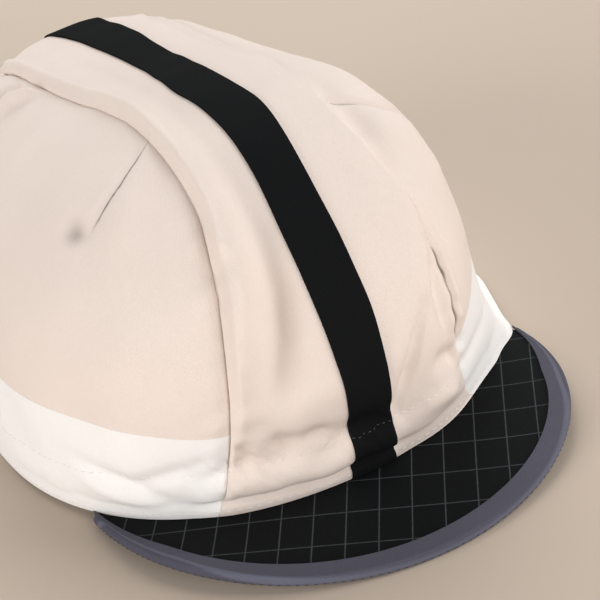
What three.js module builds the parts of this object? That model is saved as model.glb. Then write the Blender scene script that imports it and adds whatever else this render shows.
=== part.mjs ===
// A soft cycling cap: a centre panel from front to back, a side panel and a paler side band on each
// side, a dark tape over the middle, and a short peak bound with tape along its edge.
// Millimetres, +Z up. The peak points towards -Y, and the wearer's right is at -X.
import * as THREE from "three";

// Head opening and crown
const RIM_HALF_WIDTH = 82;
const RIM_FRONT = 95.5;
const RIM_BACK = 96.7;
const CROWN_HEIGHT = 100;
const FRONT_LIFT = 5; // the rim's front stands this far above its back and sides
const RIM_SQUARENESS_FRONT = 2.33; // 2 is an ellipse, and more is squarer
const RIM_SQUARENESS_BACK = 2.03;
const TOP_SQUARENESS = 2.37;

// How the soft crown has settled, as shares of its own width or length
const RIGHT_SWELL = 0.017;
const LEFT_TUCK = 0.148;
const FRONT_TUCK = 0.006;
const BACK_SWELL = 0.037;
const SKEW = 0.023;
const BELLY_SLANT = 0.6; // under 1 puts the fullest part of the belly lower than half way up
const LIFT_SLANT = 1.15;

// The left front of the cap is pushed in, where the compass angle is in radians from the front
const RIM_TUCK = 0.042;
const RIM_TUCK_AT = 0.62;
const RIM_TUCK_SPREAD = 0.24;
const RIM_BEND_HEIGHT = 12; // the rim's bends fade out over this height

// Cloth
const WALL = 1.6;
const HEM_WALL = 2.8;
const HEM_HEIGHT = 17;
const HEM_AT_BACK = 0.4; // fullness of the hem's casing round the back
const GAP = 0.3;
const SEAM_DITCH = 1;
const DITCH_WIDTH = 2.2;
const ROLL_RISE = 2;
const ROLL_INSIDE = 2.6;
const ROLL_WIDTH = 2.1;
const PUCKER_RISE = 0.35;
const PUCKER_SPACING = 17;
const PUCKER_REACH = 6;

// Panels, bands and tape
const CENTRE_HALF_WIDTH = 44.4; // centre panel at the front of the rim
const BAND_HEIGHT = 35;
const TAPE_WIDTH = 14.6;
const TAPE_THICK = 1;
const FRONT_SHOULDER = 60; // turns between which the seam is a side panel's upper edge
const BACK_SHOULDER = 120;

// Peak and its binding
const PEAK_REACH = 42.5;
const PEAK_SPREAD = 0.87; // share of the rim's half width where the peak ends
const PEAK_FULLNESS = 0.86; // under 1 fills out the shoulders of the peak's outline
const PEAK_WAVE_RIGHT = 3.1;
const PEAK_WAVE_LEFT = 2.6;
const PEAK_THICK = 1.2;
const PEAK_TUCK = 2.2; // how far the peak runs in under the hem
const PEAK_END = 0.965; // share of the outline, from its middle, where the peak is cut off
const BINDING_WIDTH = 6.8;
const BINDING_WALL = 0.9;
const LIP_SHOULDER = 0.7; // how far out, and how high, the lip's bevel stands as shares
const LIP_BEVEL = 0.6;
const LEAST_SLANT = 0.5;

// Fineness of the faceted form
const HALVINGS = 24;
const ARC_STEPS = 34;
const BAND_STEPS = 32;
const PANEL_STEPS = { round: 22, rise: 12 };
const PEAK_STEPS = { along: 36, out: 5 };
const BESIDE_TAPE = [0.75, 0.5, 0.25];
const NEAR_SEAM = [GAP / 2, ROLL_INSIDE, ROLL_INSIDE + 1.6 * ROLL_WIDTH];

// Distance from the middle of the head opening to the crown along its centre line, by how far the
// line has turned from the front (0 degrees) over the top to the back (180), as a share of the height
const CENTRE_LINE = [
  { turn: 15, reach: 1.077 },
  { turn: 35, reach: 1.155 },
  { turn: 60, reach: 1.12 },
  { turn: 90, reach: 0.985 },
  { turn: 120, reach: 1.075 },
  { turn: 150, reach: 1.325 },
];

// Half width of the centre panel along that line, as a share of its half width at the front, and how
// full its rolled edge is there
const SEAM_LINE = [
  { turn: 0, right: 1, left: 0.955 },
  { turn: 15, right: 0.89, left: 0.945 },
  { turn: 30, right: 0.778, left: 0.87 },
  { turn: 45, right: 0.635, left: 0.69 },
  { turn: 60, right: 0.566, left: 0.555 },
  { turn: 90, right: 0.58, left: 0.58 },
  { turn: 120, right: 0.629, left: 0.629 },
  { turn: 150, right: 0.62, left: 0.62 },
  { turn: 180, right: 0.67, left: 0.67 },
];
const ROLLED_EDGE = [
  { turn: 0, right: 0.1, left: 0.1 },
  { turn: 35, right: 0.5, left: 0.5 },
  { turn: 62, right: 1, left: 0.5 },
  { turn: 120, right: 0.9, left: 0.5 },
  { turn: 180, right: 0.2, left: 0.2 },
];

// The tape strays from the middle and varies a little, both as shares of its width
const TAPE_LINE = [
  { turn: 0, drift: -0.02, width: 1 },
  { turn: 10, drift: -0.05, width: 0.94 },
  { turn: 25, drift: -0.05, width: 1.05 },
  { turn: 43, drift: -0.125, width: 0.98 },
  { turn: 52, drift: -0.06, width: 0.93 },
  { turn: 65, drift: 0.03, width: 1 },
  { turn: 78, drift: -0.045, width: 0.97 },
  { turn: 95, drift: 0.11, width: 0.87 },
  { turn: 115, drift: 0.17, width: 1.03 },
  { turn: 180, drift: 0, width: 1 },
];

// Top edge of the side bands from the front seam round to the back seam, as a share of their height
const BAND_EDGE = [
  { round: 0, right: 0.84, left: 0.74 },
  { round: 0.14, right: 0.96, left: 1.02 },
  { round: 0.35, right: 1.02, left: 1.04 },
  { round: 0.7, right: 0.98, left: 1 },
  { round: 1, right: 0.9, left: 0.9 },
];

// Bends of the rim on the left by compass angle, in as a share of the distance from the middle
const RIM_LINE = [
  { round: 0.75, inward: 0 },
  { round: 0.85, inward: 0.002 },
  { round: 0.95, inward: -0.0165 },
  { round: 1.05, inward: 0.0034 },
  { round: 1.15, inward: 0.0076 },
  { round: 1.25, inward: -0.001 },
  { round: 1.35, inward: -0.019 },
  { round: 1.5, inward: -0.031 },
  { round: 1.7, inward: -0.03 },
  { round: 1.95, inward: 0 },
];

// How far the hem's casing stands out, by height, as shares of the hem's wall and of its height
const HEM_PROFILE = [
  { height: 0, out: 0.5 },
  { height: 0.18, out: 0.3 },
  { height: 0.42, out: -0.7 },
  { height: 0.7, out: 0.8 },
  { height: 0.92, out: 0.5 },
  { height: 1.12, out: -0.2 },
  { height: 1.4, out: 0 },
];

// How full the casing is at the front, by the place across as a share of the rim's half width
const HEM_FULLNESS = [
  { across: -1, full: 0.12 },
  { across: -0.62, full: 0.15 },
  { across: -0.5, full: 1 },
  { across: -0.1, full: 1 },
  { across: 0.07, full: 0.7 },
  { across: 0.15, full: 0.14 },
  { across: 0.45, full: 0.1 },
  { across: 1, full: 0.12 },
];

// Folds and dents. An end is the turn in degrees and the place across as a share of the rim's half
// width. The width and the rise at both ends are shares of the height.
const FOLDS = [
  { name: "right roll, top", from: [112, -0.265], to: [66, -0.25], width: 0.055, rise: [0.016, 0.024] },
  { name: "right roll, brow", from: [66, -0.25], to: [42.5, -0.276], width: 0.055, rise: [0.024, 0.052] },
  { name: "right roll, end", from: [42.5, -0.276], to: [22, -0.41], width: 0.055, rise: [0.052, 0.012] },
  { name: "right valley", from: [47, -0.195], to: [24, -0.29], width: 0.055, rise: [-0.02, -0.036] },
  { name: "upper right pocket", from: [52, -0.31], to: [47, -0.33], width: 0.03, rise: [-0.018, -0.018] },
  { name: "lower right pocket", from: [42, -0.35], to: [36, -0.385], width: 0.03, rise: [-0.016, -0.016] },
  { name: "right dart", from: [67.5, -0.309], to: [58.8, -0.61], width: 0.02, rise: [-0.006, -0.012] },
  { name: "right swell", from: [62, -0.36], to: [56, -0.52], width: 0.06, rise: [0.008, 0.01] },
  { name: "right dimple", from: [62.6, -0.652], to: [60.2, -0.639], width: 0.03, rise: [-0.024, -0.024] },
  { name: "roll, right back", from: [114, -0.37], to: [120.5, -0.5], width: 0.03, rise: [0.014, 0.03] },
  { name: "valley, right back", from: [120, -0.4], to: [127, -0.53], width: 0.035, rise: [-0.02, -0.04] },
  { name: "left hollow", from: [62, 0.36], to: [47, 0.4], width: 0.045, rise: [-0.012, -0.014] },
  { name: "fall to left seam", from: [42, 0.4], to: [18, 0.5], width: 0.026, rise: [-0.012, -0.014] },
  { name: "left roll, top", from: [92, 0.24], to: [54, 0.26], width: 0.06, rise: [0.006, 0.028] },
  { name: "left roll, brow", from: [54, 0.26], to: [32, 0.345], width: 0.06, rise: [0.028, 0.034] },
  { name: "left roll, end", from: [32, 0.345], to: [18, 0.18], width: 0.06, rise: [0.034, 0.006] },
  { name: "fall beside that end", from: [29, 0.405], to: [18, 0.435], width: 0.035, rise: [-0.022, -0.014] },
  { name: "left dart", from: [63, 0.31], to: [61, 0.7], width: 0.018, rise: [-0.014, -0.016] },
  { name: "left swell", from: [54, 0.48], to: [48, 0.66], width: 0.09, rise: [0.016, 0.02] },
  { name: "slack fold above the hem", from: [25, 0.3], to: [12, 0.11], width: 0.026, rise: [-0.012, -0.014] },
  { name: "dent by the left seam", from: [15, 0.36], to: [13.5, 0.45], width: 0.035, rise: [-0.012, -0.022] },
  { name: "right band crease", from: [19, -0.87], to: [4, -0.62], width: 0.03, rise: [-0.008, -0.01] },
  { name: "fold in the left band", from: [14, 0.82], to: [9.2, 0.553], width: 0.03, rise: [-0.006, -0.01] },
  { name: "slack at the back", from: [158, -0.2], to: [150, 0.3], width: 0.09, rise: [-0.02, -0.02] },
  { name: "roll above the slack", from: [140, -0.15], to: [136, 0.25], width: 0.1, rise: [0.018, 0.018] },
];

const COLOURS = {
  panel: 0xe6d8cb,
  band: 0xf6f2ee,
  tape: 0x17181a,
  peak: 0x151718,
  binding: 0x53525f,
};
const COTTON_ROUGHNESS = 0.9;
const TAPE_ROUGHNESS = 0.8;

const RIGHT = -1;
const LEFT = 1;
const { clamp, degToRad, lerp, smoothstep } = THREE.MathUtils;

// A smooth curve through the rows of a table
function curveThrough(xs, ys) {
  const bend = xs.map(() => 0);
  const carry = xs.map(() => 0);
  for (let i = 1; i < xs.length - 1; i++) {
    const span = xs[i + 1] - xs[i - 1];
    const ratio = (xs[i] - xs[i - 1]) / span;
    const pivot = ratio * bend[i - 1] + 2;
    const after = (ys[i + 1] - ys[i]) / (xs[i + 1] - xs[i]);
    const before = (ys[i] - ys[i - 1]) / (xs[i] - xs[i - 1]);
    bend[i] = (ratio - 1) / pivot;
    carry[i] = ((6 * (after - before)) / span - ratio * carry[i - 1]) / pivot;
  }
  for (let i = xs.length - 2; i >= 0; i--) {
    bend[i] = bend[i] * bend[i + 1] + carry[i];
  }
  return (x) => {
    let i = 1;
    while (i < xs.length - 1 && x > xs[i]) i++;
    const step = xs[i] - xs[i - 1];
    const a = (xs[i] - x) / step;
    const b = 1 - a;
    const curl = ((a ** 3 - a) * bend[i - 1] + (b ** 3 - b) * bend[i]) * (step * step) / 6;
    return a * ys[i - 1] + b * ys[i] + curl;
  };
}

// Straight lines through the rows of a table
function linesThrough(xs, ys) {
  return (x) => {
    let i = 1;
    while (i < xs.length - 1 && x > xs[i]) i++;
    const share = clamp((x - xs[i - 1]) / (xs[i] - xs[i - 1]), 0, 1);
    return lerp(ys[i - 1], ys[i], share);
  };
}

const column = (table, name) => table.map((row) => row[name]);

const reachAt = curveThrough(
  [0, ...column(CENTRE_LINE, "turn"), 180],
  [RIM_FRONT, ...column(CENTRE_LINE, "reach").map((reach) => reach * CROWN_HEIGHT), RIM_BACK],
);
const bySide = (table, name, through) => ({
  [RIGHT]: through(column(table, name), column(table, "right")),
  [LEFT]: through(column(table, name), column(table, "left")),
});
const seamCurves = bySide(SEAM_LINE, "turn", curveThrough);
const halfWidthAt = (turn, side) => CENTRE_HALF_WIDTH * seamCurves[side](turn);
const rolledEdgeAt = bySide(ROLLED_EDGE, "turn", linesThrough);
const bandEdgeAt = bySide(BAND_EDGE, "round", curveThrough);
const tapeDriftAt = curveThrough(column(TAPE_LINE, "turn"), column(TAPE_LINE, "drift"));
const tapeWidthAt = curveThrough(column(TAPE_LINE, "turn"), column(TAPE_LINE, "width"));
const rimBendAt = linesThrough(column(RIM_LINE, "round"), column(RIM_LINE, "inward"));
const hemProfileAt = curveThrough(column(HEM_PROFILE, "height"), column(HEM_PROFILE, "out"));
const hemFullnessAt = linesThrough(column(HEM_FULLNESS, "across"), column(HEM_FULLNESS, "full"));

// The plain form of the crown, before it settles

function squarenessAt(turn) {
  const rim = turn < 90 ? RIM_SQUARENESS_FRONT : RIM_SQUARENESS_BACK;
  return rim + (TOP_SQUARENESS - rim) * Math.sin(degToRad(turn)) ** 2;
}

// The plain form at a turn along the centre line and a distance across
function plainPoint(turn, across) {
  const power = squarenessAt(turn);
  const share = Math.min(Math.abs(across) / RIM_HALF_WIDTH, 1);
  const reach = reachAt(turn) * (1 - share ** power) ** (1 / power);
  const angle = degToRad(turn);
  return new THREE.Vector3(across, -reach * Math.cos(angle), reach * Math.sin(angle));
}

const turnOf = (point) => THREE.MathUtils.radToDeg(Math.atan2(point.z, -point.y));

// The plain form in the direction of any point
function plainToward(point) {
  const turn = turnOf(point);
  const power = squarenessAt(turn);
  const slope = Math.abs(point.x) / Math.hypot(point.y, point.z);
  const reach = ((slope / RIM_HALF_WIDTH) ** power + (1 / reachAt(turn)) ** power) ** (-1 / power);
  return plainPoint(turn, Math.sign(point.x) * slope * reach);
}

// The plain form at a compass angle (0 at the front, towards +X) and a height
function plainAtHeight(round, height) {
  let low = 0;
  let high = Math.PI / 2;
  let point = null;
  for (let i = 0; i < HALVINGS; i++) {
    const tilt = (low + high) / 2;
    const flat = Math.cos(tilt);
    const way = new THREE.Vector3(flat * Math.sin(round), -flat * Math.cos(round), Math.sin(tilt));
    point = plainToward(way);
    if (point.z < height) low = tilt;
    else high = tilt;
  }
  return height > 0 ? point : plainToward(new THREE.Vector3(Math.sin(round), -Math.cos(round), 0));
}

// Turn at which the seam passes a height, from the front or from the back
function seamTurnAt(height, fromFront, side) {
  let low = fromFront ? 0 : 180;
  let high = 90;
  for (let i = 0; i < HALVINGS; i++) {
    const turn = (low + high) / 2;
    if (plainPoint(turn, halfWidthAt(turn, side)).z < height) low = turn;
    else high = turn;
  }
  return height > 0 ? (low + high) / 2 : low;
}

// How the cloth settles: swells, tucks, folds, seams and hem

function settled(plain) {
  const height = clamp(plain.z / CROWN_HEIGHT, 0, 1);
  const belly = Math.sin(Math.PI * height ** BELLY_SLANT);
  const sideways = plain.x < 0 ? RIGHT_SWELL : -LEFT_TUCK;
  const lengthways = plain.y < 0 ? -FRONT_TUCK : BACK_SWELL;
  const forward = clamp(-plain.y / RIM_FRONT, 0, 1);
  const round = Math.atan2(plain.x / RIM_HALF_WIDTH, -plain.y / RIM_FRONT);
  const tuckFade = Math.exp(-(((round - RIM_TUCK_AT) / RIM_TUCK_SPREAD) ** 2)) * (1 - height) ** 2;
  const bend = rimBendAt(round) * Math.exp(-((plain.z / RIM_BEND_HEIGHT) ** 2));
  const tuck = RIM_TUCK * tuckFade + bend;
  return new THREE.Vector3(
    plain.x * (1 + sideways * belly - tuck),
    plain.y * (1 + lengthways * belly - tuck) + SKEW * plain.x,
    plain.z + FRONT_LIFT * forward ** LIFT_SLANT * (1 - height),
  );
}

const foldEnds = FOLDS.map((fold) => ({
  ...fold,
  start: plainPoint(fold.from[0], fold.from[1] * RIM_HALF_WIDTH).normalize(),
  end: plainPoint(fold.to[0], fold.to[1] * RIM_HALF_WIDTH).normalize(),
}));

function foldRelief(plain) {
  const direction = plain.clone().normalize();
  let rise = 0;
  for (const fold of foldEnds) {
    const along = fold.end.clone().sub(fold.start);
    const share = clamp(direction.clone().sub(fold.start).dot(along) / along.lengthSq(), 0, 1);
    const nearest = fold.start.clone().addScaledVector(along, share).normalize();
    const away = (nearest.distanceTo(direction) * plain.length()) / (fold.width * CROWN_HEIGHT);
    rise += lerp(fold.rise[0], fold.rise[1], share) * CROWN_HEIGHT * Math.exp(-(away ** 2));
  }
  return rise;
}

function seamRelief(plain) {
  const turn = turnOf(plain);
  const side = plain.x < 0 ? RIGHT : LEFT;
  const away = Math.abs(plain.x) - halfWidthAt(turn, side);
  const along = degToRad(turn) * CROWN_HEIGHT;
  const ditch = away > 0 ? -SEAM_DITCH * Math.exp(-((away / DITCH_WIDTH) ** 2)) : 0;
  const roll = Math.exp(-(((away + ROLL_INSIDE) / ROLL_WIDTH) ** 2)) * rolledEdgeAt[side](turn);
  const wave = Math.sin((2 * Math.PI * along) / PUCKER_SPACING);
  const pucker = PUCKER_RISE * wave * Math.exp(-((away / PUCKER_REACH) ** 2));
  return ditch + pucker + (away > 0 ? 0 : ROLL_RISE * roll);
}

function hemRelief(plain) {
  const share = plain.z / HEM_HEIGHT;
  if (share >= HEM_PROFILE.at(-1).height) return 0;
  const front = hemFullnessAt(plain.x / RIM_HALF_WIDTH) * smoothstep(-plain.y, 0, RIM_FRONT / 3);
  const back = HEM_AT_BACK * smoothstep(plain.y, 0, RIM_BACK / 2);
  return (front + back) * hemProfileAt(share) * HEM_WALL;
}

function relief(plain) {
  const free = smoothstep(plain.z, 0, HEM_HEIGHT);
  return free * (foldRelief(plain) + seamRelief(plain)) + hemRelief(plain);
}

// Outward direction of the settled crown, level at the rim so that the hem's edge stays flat
function outwardAt(plain) {
  const step = 0.5;
  const sideways = new THREE.Vector3(-plain.y, plain.x, 0);
  if (sideways.length() < 1) sideways.set(0, 1, 0);
  sideways.setLength(step);
  const upward = plain.clone().cross(sideways).setLength(step);
  if (upward.z < 0) upward.negate();
  const here = settled(plain);
  const across = settled(plainToward(plain.clone().add(sideways))).sub(here);
  const up = settled(plainToward(plain.clone().add(upward))).sub(here);
  const outward = across.cross(up);
  if (outward.dot(plain) < 0) outward.negate();
  outward.z *= smoothstep(plain.z, 0, HEM_HEIGHT / 2);
  return outward.normalize();
}

// A point of the cloth, sunk below its outer face by a depth
function cloth(plain, depth) {
  return settled(plain).addScaledVector(outwardAt(plain), relief(plain) - depth);
}

function wallAt(plain) {
  const hemEnd = HEM_HEIGHT * HEM_PROFILE.at(-1).height;
  return lerp(HEM_WALL, WALL, smoothstep(plain.z, HEM_HEIGHT, hemEnd));
}

// Closed bodies from grids of points

function signedVolume(points, faces) {
  let volume = 0;
  for (let i = 0; i < faces.length; i += 3) {
    const [a, b, c] = [points[faces[i]], points[faces[i + 1]], points[faces[i + 2]]];
    volume += a.dot(b.clone().cross(c)) / 6;
  }
  return volume;
}

function bodyFrom(points, faces) {
  const outwardFaces = signedVolume(points, faces) < 0 ? faces.slice().reverse() : faces;
  const geometry = new THREE.BufferGeometry().setFromPoints(points);
  geometry.setIndex(outwardFaces);
  geometry.computeVertexNormals();
  return geometry;
}

// A sheet of cloth between an outer and an inner grid of points, with its four edges closed
function sheetBetween(outer, inner) {
  const rows = outer.length;
  const columns = outer[0].length;
  const points = [...outer.flat(), ...inner.flat()];
  const at = (layer, row, col) => layer * rows * columns + row * columns + col;
  const faces = [];
  const quad = (a, b, c, d) => faces.push(a, b, c, a, c, d);
  for (let i = 0; i < rows - 1; i++) {
    for (let j = 0; j < columns - 1; j++) {
      quad(at(0, i, j), at(0, i, j + 1), at(0, i + 1, j + 1), at(0, i + 1, j));
      quad(at(1, i, j), at(1, i + 1, j), at(1, i + 1, j + 1), at(1, i, j + 1));
    }
  }
  for (let j = 0; j < columns - 1; j++) {
    quad(at(0, 0, j + 1), at(0, 0, j), at(1, 0, j), at(1, 0, j + 1));
    quad(at(0, rows - 1, j), at(0, rows - 1, j + 1), at(1, rows - 1, j + 1), at(1, rows - 1, j));
  }
  for (let i = 0; i < rows - 1; i++) {
    quad(at(0, i, 0), at(0, i + 1, 0), at(1, i + 1, 0), at(1, i, 0));
    quad(at(0, i + 1, columns - 1), at(0, i, columns - 1), at(1, i, columns - 1), at(1, i + 1, columns - 1));
  }
  return bodyFrom(points, faces);
}

// A piece of the crown over a grid of plain points, between two depths below its outer face
function clothSheet(grid, outerDepth, innerDepth) {
  const layer = (depth) => grid.map((row) => row.map((plain) => cloth(plain, depth(plain))));
  return sheetBetween(layer(outerDepth), layer(innerDepth));
}

// A band carried along a path: one closed ring of points for each station, with both ends closed
function sweptRings(rings, outline) {
  const count = rings[0].length;
  const points = rings.flat();
  const faces = [];
  for (let i = 0; i < rings.length - 1; i++) {
    for (let j = 0; j < count; j++) {
      const a = i * count + j;
      const b = i * count + ((j + 1) % count);
      faces.push(a, b, b + count, a, b + count, a + count);
    }
  }
  for (const [a, b, c] of THREE.ShapeUtils.triangulateShape(outline, [])) {
    const last = (rings.length - 1) * count;
    faces.push(a, c, b, last + a, last + b, last + c);
  }
  return bodyFrom(points, faces);
}

// Stations shared by the panels

const evenly = (count) => Array.from({ length: count + 1 }, (_, i) => i / count);
const HEM_STATIONS = column(HEM_PROFILE, "height").map((share) => share * HEM_HEIGHT);

// Turns from the front hem over the top to the back hem, with the hem's own stations at both ends
function centreTurns() {
  const front = HEM_STATIONS.map((height) => seamTurnAt(height, true, RIGHT));
  const back = HEM_STATIONS.map((height) => seamTurnAt(height, false, RIGHT)).reverse();
  const start = front.at(-1);
  const between = evenly(ARC_STEPS).slice(1, -1).map((share) => lerp(start, back[0], share));
  return [...front, ...between, ...back];
}

// Places across the tape at a turn: its right edge, its middle and its left edge
function tapeColumns(turn) {
  const wide = tapeWidthAt(turn);
  return [-0.5, 0, 0.5].map((part) => TAPE_WIDTH * (tapeDriftAt(turn) + part * wide));
}

// The panel has the tape's own columns under the tape, so that the two never touch
function centrePanel() {
  const grid = centreTurns().map((turn) => {
    const tape = tapeColumns(turn);
    const fromSeam = (side, edge) => {
      const near = NEAR_SEAM.map((inset) => side * (halfWidthAt(turn, side) - inset));
      return [...near, ...BESIDE_TAPE.map((share) => lerp(edge, near.at(-1), share))];
    };
    const left = fromSeam(LEFT, tape.at(-1)).reverse();
    return [...fromSeam(RIGHT, tape[0]), ...tape, ...left].map((x) => plainPoint(turn, x));
  });
  return clothSheet(grid, () => 0, wallAt);
}

function centreTape() {
  const grid = centreTurns().map((turn) => tapeColumns(turn).map((x) => plainPoint(turn, x)));
  return clothSheet(grid, () => -GAP - TAPE_THICK, () => -GAP);
}

// A point of the seam on the side panel's own side of the gap
const seamEdge = (turn, side) => plainPoint(turn, side * (halfWidthAt(turn, side) + GAP / 2));

const compassOf = (plain) => Math.atan2(plain.x, -plain.y);

// A point at a height, a share of the way from the front seam round the side to the back seam
function roundTheSide(side, share, height, frontHeight, backHeight) {
  const front = compassOf(seamEdge(seamTurnAt(frontHeight, true, side), side));
  const back = compassOf(seamEdge(seamTurnAt(backHeight, false, side), side));
  return plainAtHeight(lerp(front, back, share), height);
}

const bandTop = (side, share) => BAND_HEIGHT * bandEdgeAt[side](share);

function sideBand(side) {
  const heightsAt = (share) => {
    const top = bandTop(side, share) - GAP / 2;
    return [...HEM_STATIONS, (HEM_STATIONS.at(-1) + top) / 2, top];
  };
  const front = heightsAt(0);
  const back = heightsAt(1);
  const grid = evenly(BAND_STEPS).map((share) => heightsAt(share).map(
    (height, row) => roundTheSide(side, share, height, front[row], back[row]),
  ));
  return clothSheet(grid, () => 0, wallAt);
}

// The side panel is a four-sided patch: the band's top edge below, and the seam round the rest
function sidePanel(side) {
  const frontFoot = bandTop(side, 0) + GAP / 2;
  const backFoot = bandTop(side, 1) + GAP / 2;
  const firstTurn = seamTurnAt(frontFoot, true, side);
  const lastTurn = seamTurnAt(backFoot, false, side);
  const below = (u) => roundTheSide(side, u, bandTop(side, u) + GAP / 2, frontFoot, backFoot);
  const above = (u) => seamEdge(lerp(FRONT_SHOULDER, BACK_SHOULDER, u), side);
  const before = (v) => seamEdge(lerp(firstTurn, FRONT_SHOULDER, v), side);
  const behind = (v) => seamEdge(lerp(lastTurn, BACK_SHOULDER, v), side);
  const corners = [below(0), below(1), above(0), above(1)];
  const patch = (u, v) => {
    const point = below(u).multiplyScalar(1 - v).addScaledVector(above(u), v);
    point.addScaledVector(before(v), 1 - u).addScaledVector(behind(v), u);
    point.addScaledVector(corners[0], -(1 - u) * (1 - v)).addScaledVector(corners[1], -u * (1 - v));
    point.addScaledVector(corners[2], -(1 - u) * v).addScaledVector(corners[3], -u * v);
    return plainToward(point);
  };
  const rounds = [0, 0.015, 0.04, ...evenly(PANEL_STEPS.round).slice(2, -2), 0.96, 0.985, 1];
  const rises = [...evenly(PANEL_STEPS.rise).slice(0, -1), 0.955, 0.98, 1];
  const grid = rises.map((v) => rounds.map((u) => patch(u, v)));
  return clothSheet(grid, () => 0, wallAt);
}

// Peak

const halfPeak = PEAK_THICK / 2;
const bindingHalf = halfPeak + GAP + BINDING_WALL;
const hemFoot = (across, depth) => cloth(plainPoint(0, across), depth);

// The visible outline of the bound peak, from the wearer's right (-1) to the left (1)
function peakOutline(share) {
  const spread = PEAK_SPREAD * RIM_HALF_WIDTH;
  const corner = hemFoot(spread, 0);
  const across = Math.sin((share * Math.PI) / 2);
  const forward = Math.cos((share * Math.PI) / 2);
  const root = corner.y - SKEW * corner.x;
  const rise = lerp(corner.z - GAP - halfPeak, bindingHalf, forward);
  const wave = share < 0 ? PEAK_WAVE_RIGHT : PEAK_WAVE_LEFT;
  return new THREE.Vector3(
    across * (corner.x + BINDING_WALL),
    lerp(root, -RIM_FRONT - PEAK_REACH, forward ** PEAK_FULLNESS) + SKEW * across * corner.x,
    rise + wave * 4 * forward * (1 - forward),
  );
}

// Level direction out of the peak's outline
function peakOutward(share) {
  const step = 0.01;
  const along = peakOutline(Math.min(share + step, 1)).sub(peakOutline(Math.max(share - step, -1)));
  return new THREE.Vector3(along.y, -along.x, 0).normalize();
}

function peakEdge(share) {
  return peakOutline(share).addScaledVector(peakOutward(share), -GAP - BINDING_WALL);
}

function peakRoot(share, tuck) {
  const across = PEAK_SPREAD * RIM_HALF_WIDTH * Math.sin((share * Math.PI) / 2);
  const root = hemFoot(across, tuck);
  root.z -= GAP + halfPeak;
  return root;
}

const PEAK_STATIONS = evenly(PEAK_STEPS.along).map((share) => lerp(-PEAK_END, PEAK_END, share));

function peak() {
  const level = (lift) => PEAK_STATIONS.map((share) => evenly(PEAK_STEPS.out).map((part) => {
    const point = peakRoot(share, PEAK_TUCK).lerp(peakEdge(share), part);
    point.z += lift;
    return point;
  }));
  return sheetBetween(level(halfPeak), level(-halfPeak));
}

// Cross-section of the binding: how far in along the peak, how far out past its edge, and its height
const bindingInner = halfPeak + GAP;
const BINDING_SECTION = [
  { inward: 1, out: 0, height: -bindingHalf },
  { inward: 0, out: 0, height: -bindingHalf },
  { inward: 0, out: GAP + BINDING_WALL * LIP_SHOULDER, height: -bindingHalf * LIP_BEVEL },
  { inward: 0, out: GAP + BINDING_WALL, height: 0 },
  { inward: 0, out: GAP + BINDING_WALL * LIP_SHOULDER, height: bindingHalf * LIP_BEVEL },
  { inward: 0, out: 0, height: bindingHalf },
  { inward: 1, out: 0, height: bindingHalf },
  { inward: 1, out: 0, height: bindingInner },
  { inward: 0, out: GAP, height: bindingInner },
  { inward: 0, out: GAP, height: -bindingInner },
  { inward: 1, out: 0, height: -bindingInner },
];
const bindingOutline = BINDING_SECTION.map(
  (row) => new THREE.Vector2(row.out - row.inward * BINDING_WIDTH, row.height),
);

function peakBinding() {
  const rings = PEAK_STATIONS.map((share) => {
    const edge = peakEdge(share);
    const outward = peakOutward(share);
    const inward = peakRoot(share, 0).sub(edge);
    const room = inward.length() - 2 * GAP;
    inward.normalize();
    const slant = Math.max(-inward.dot(outward), LEAST_SLANT);
    const width = Math.min((BINDING_WIDTH - GAP - BINDING_WALL) / slant, room);
    return BINDING_SECTION.map((row) => {
      const point = edge.clone().addScaledVector(inward, row.inward * width);
      point.addScaledVector(outward, row.out);
      point.z += row.height;
      return point;
    });
  });
  return sweptRings(rings, bindingOutline);
}

// Assembly

function piece(name, geometry, colour, roughness) {
  const material = new THREE.MeshStandardMaterial({ color: colour, roughness, metalness: 0 });
  const mesh = new THREE.Mesh(geometry, material);
  mesh.name = name;
  return mesh;
}

const cap = new THREE.Group();
cap.add(piece("centre_panel", centrePanel(), COLOURS.panel, COTTON_ROUGHNESS));
cap.add(piece("side_panel_right", sidePanel(RIGHT), COLOURS.panel, COTTON_ROUGHNESS));
cap.add(piece("side_panel_left", sidePanel(LEFT), COLOURS.panel, COTTON_ROUGHNESS));
cap.add(piece("side_band_right", sideBand(RIGHT), COLOURS.band, COTTON_ROUGHNESS));
cap.add(piece("side_band_left", sideBand(LEFT), COLOURS.band, COTTON_ROUGHNESS));
cap.add(piece("centre_tape", centreTape(), COLOURS.tape, TAPE_ROUGHNESS));
cap.add(piece("peak", peak(), COLOURS.peak, COTTON_ROUGHNESS));
cap.add(piece("peak_binding", peakBinding(), COLOURS.binding, TAPE_ROUGHNESS));

// The origin is under the middle of the whole cap
const extent = new THREE.Box3().setFromObject(cap);
const middle = extent.getCenter(new THREE.Vector3());
cap.position.set(-middle.x, -middle.y, -extent.min.z);

export default cap;
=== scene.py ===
# %% [markdown]
# A cycling cap is soft goods: thin cotton panels sewn edge to edge, a hem that is turned up and
# stitched, a tape down the middle and a short stiff peak with a bound edge. This file dresses the
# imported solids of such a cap. Each cloth piece is a flat grid that is carried onto one shared crown
# form, given the folds of that place, and thickened into a wall.

# %% Load the frame
import math

import bmesh
import bpy
import numpy as np
from mathutils import Matrix, Vector


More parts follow.
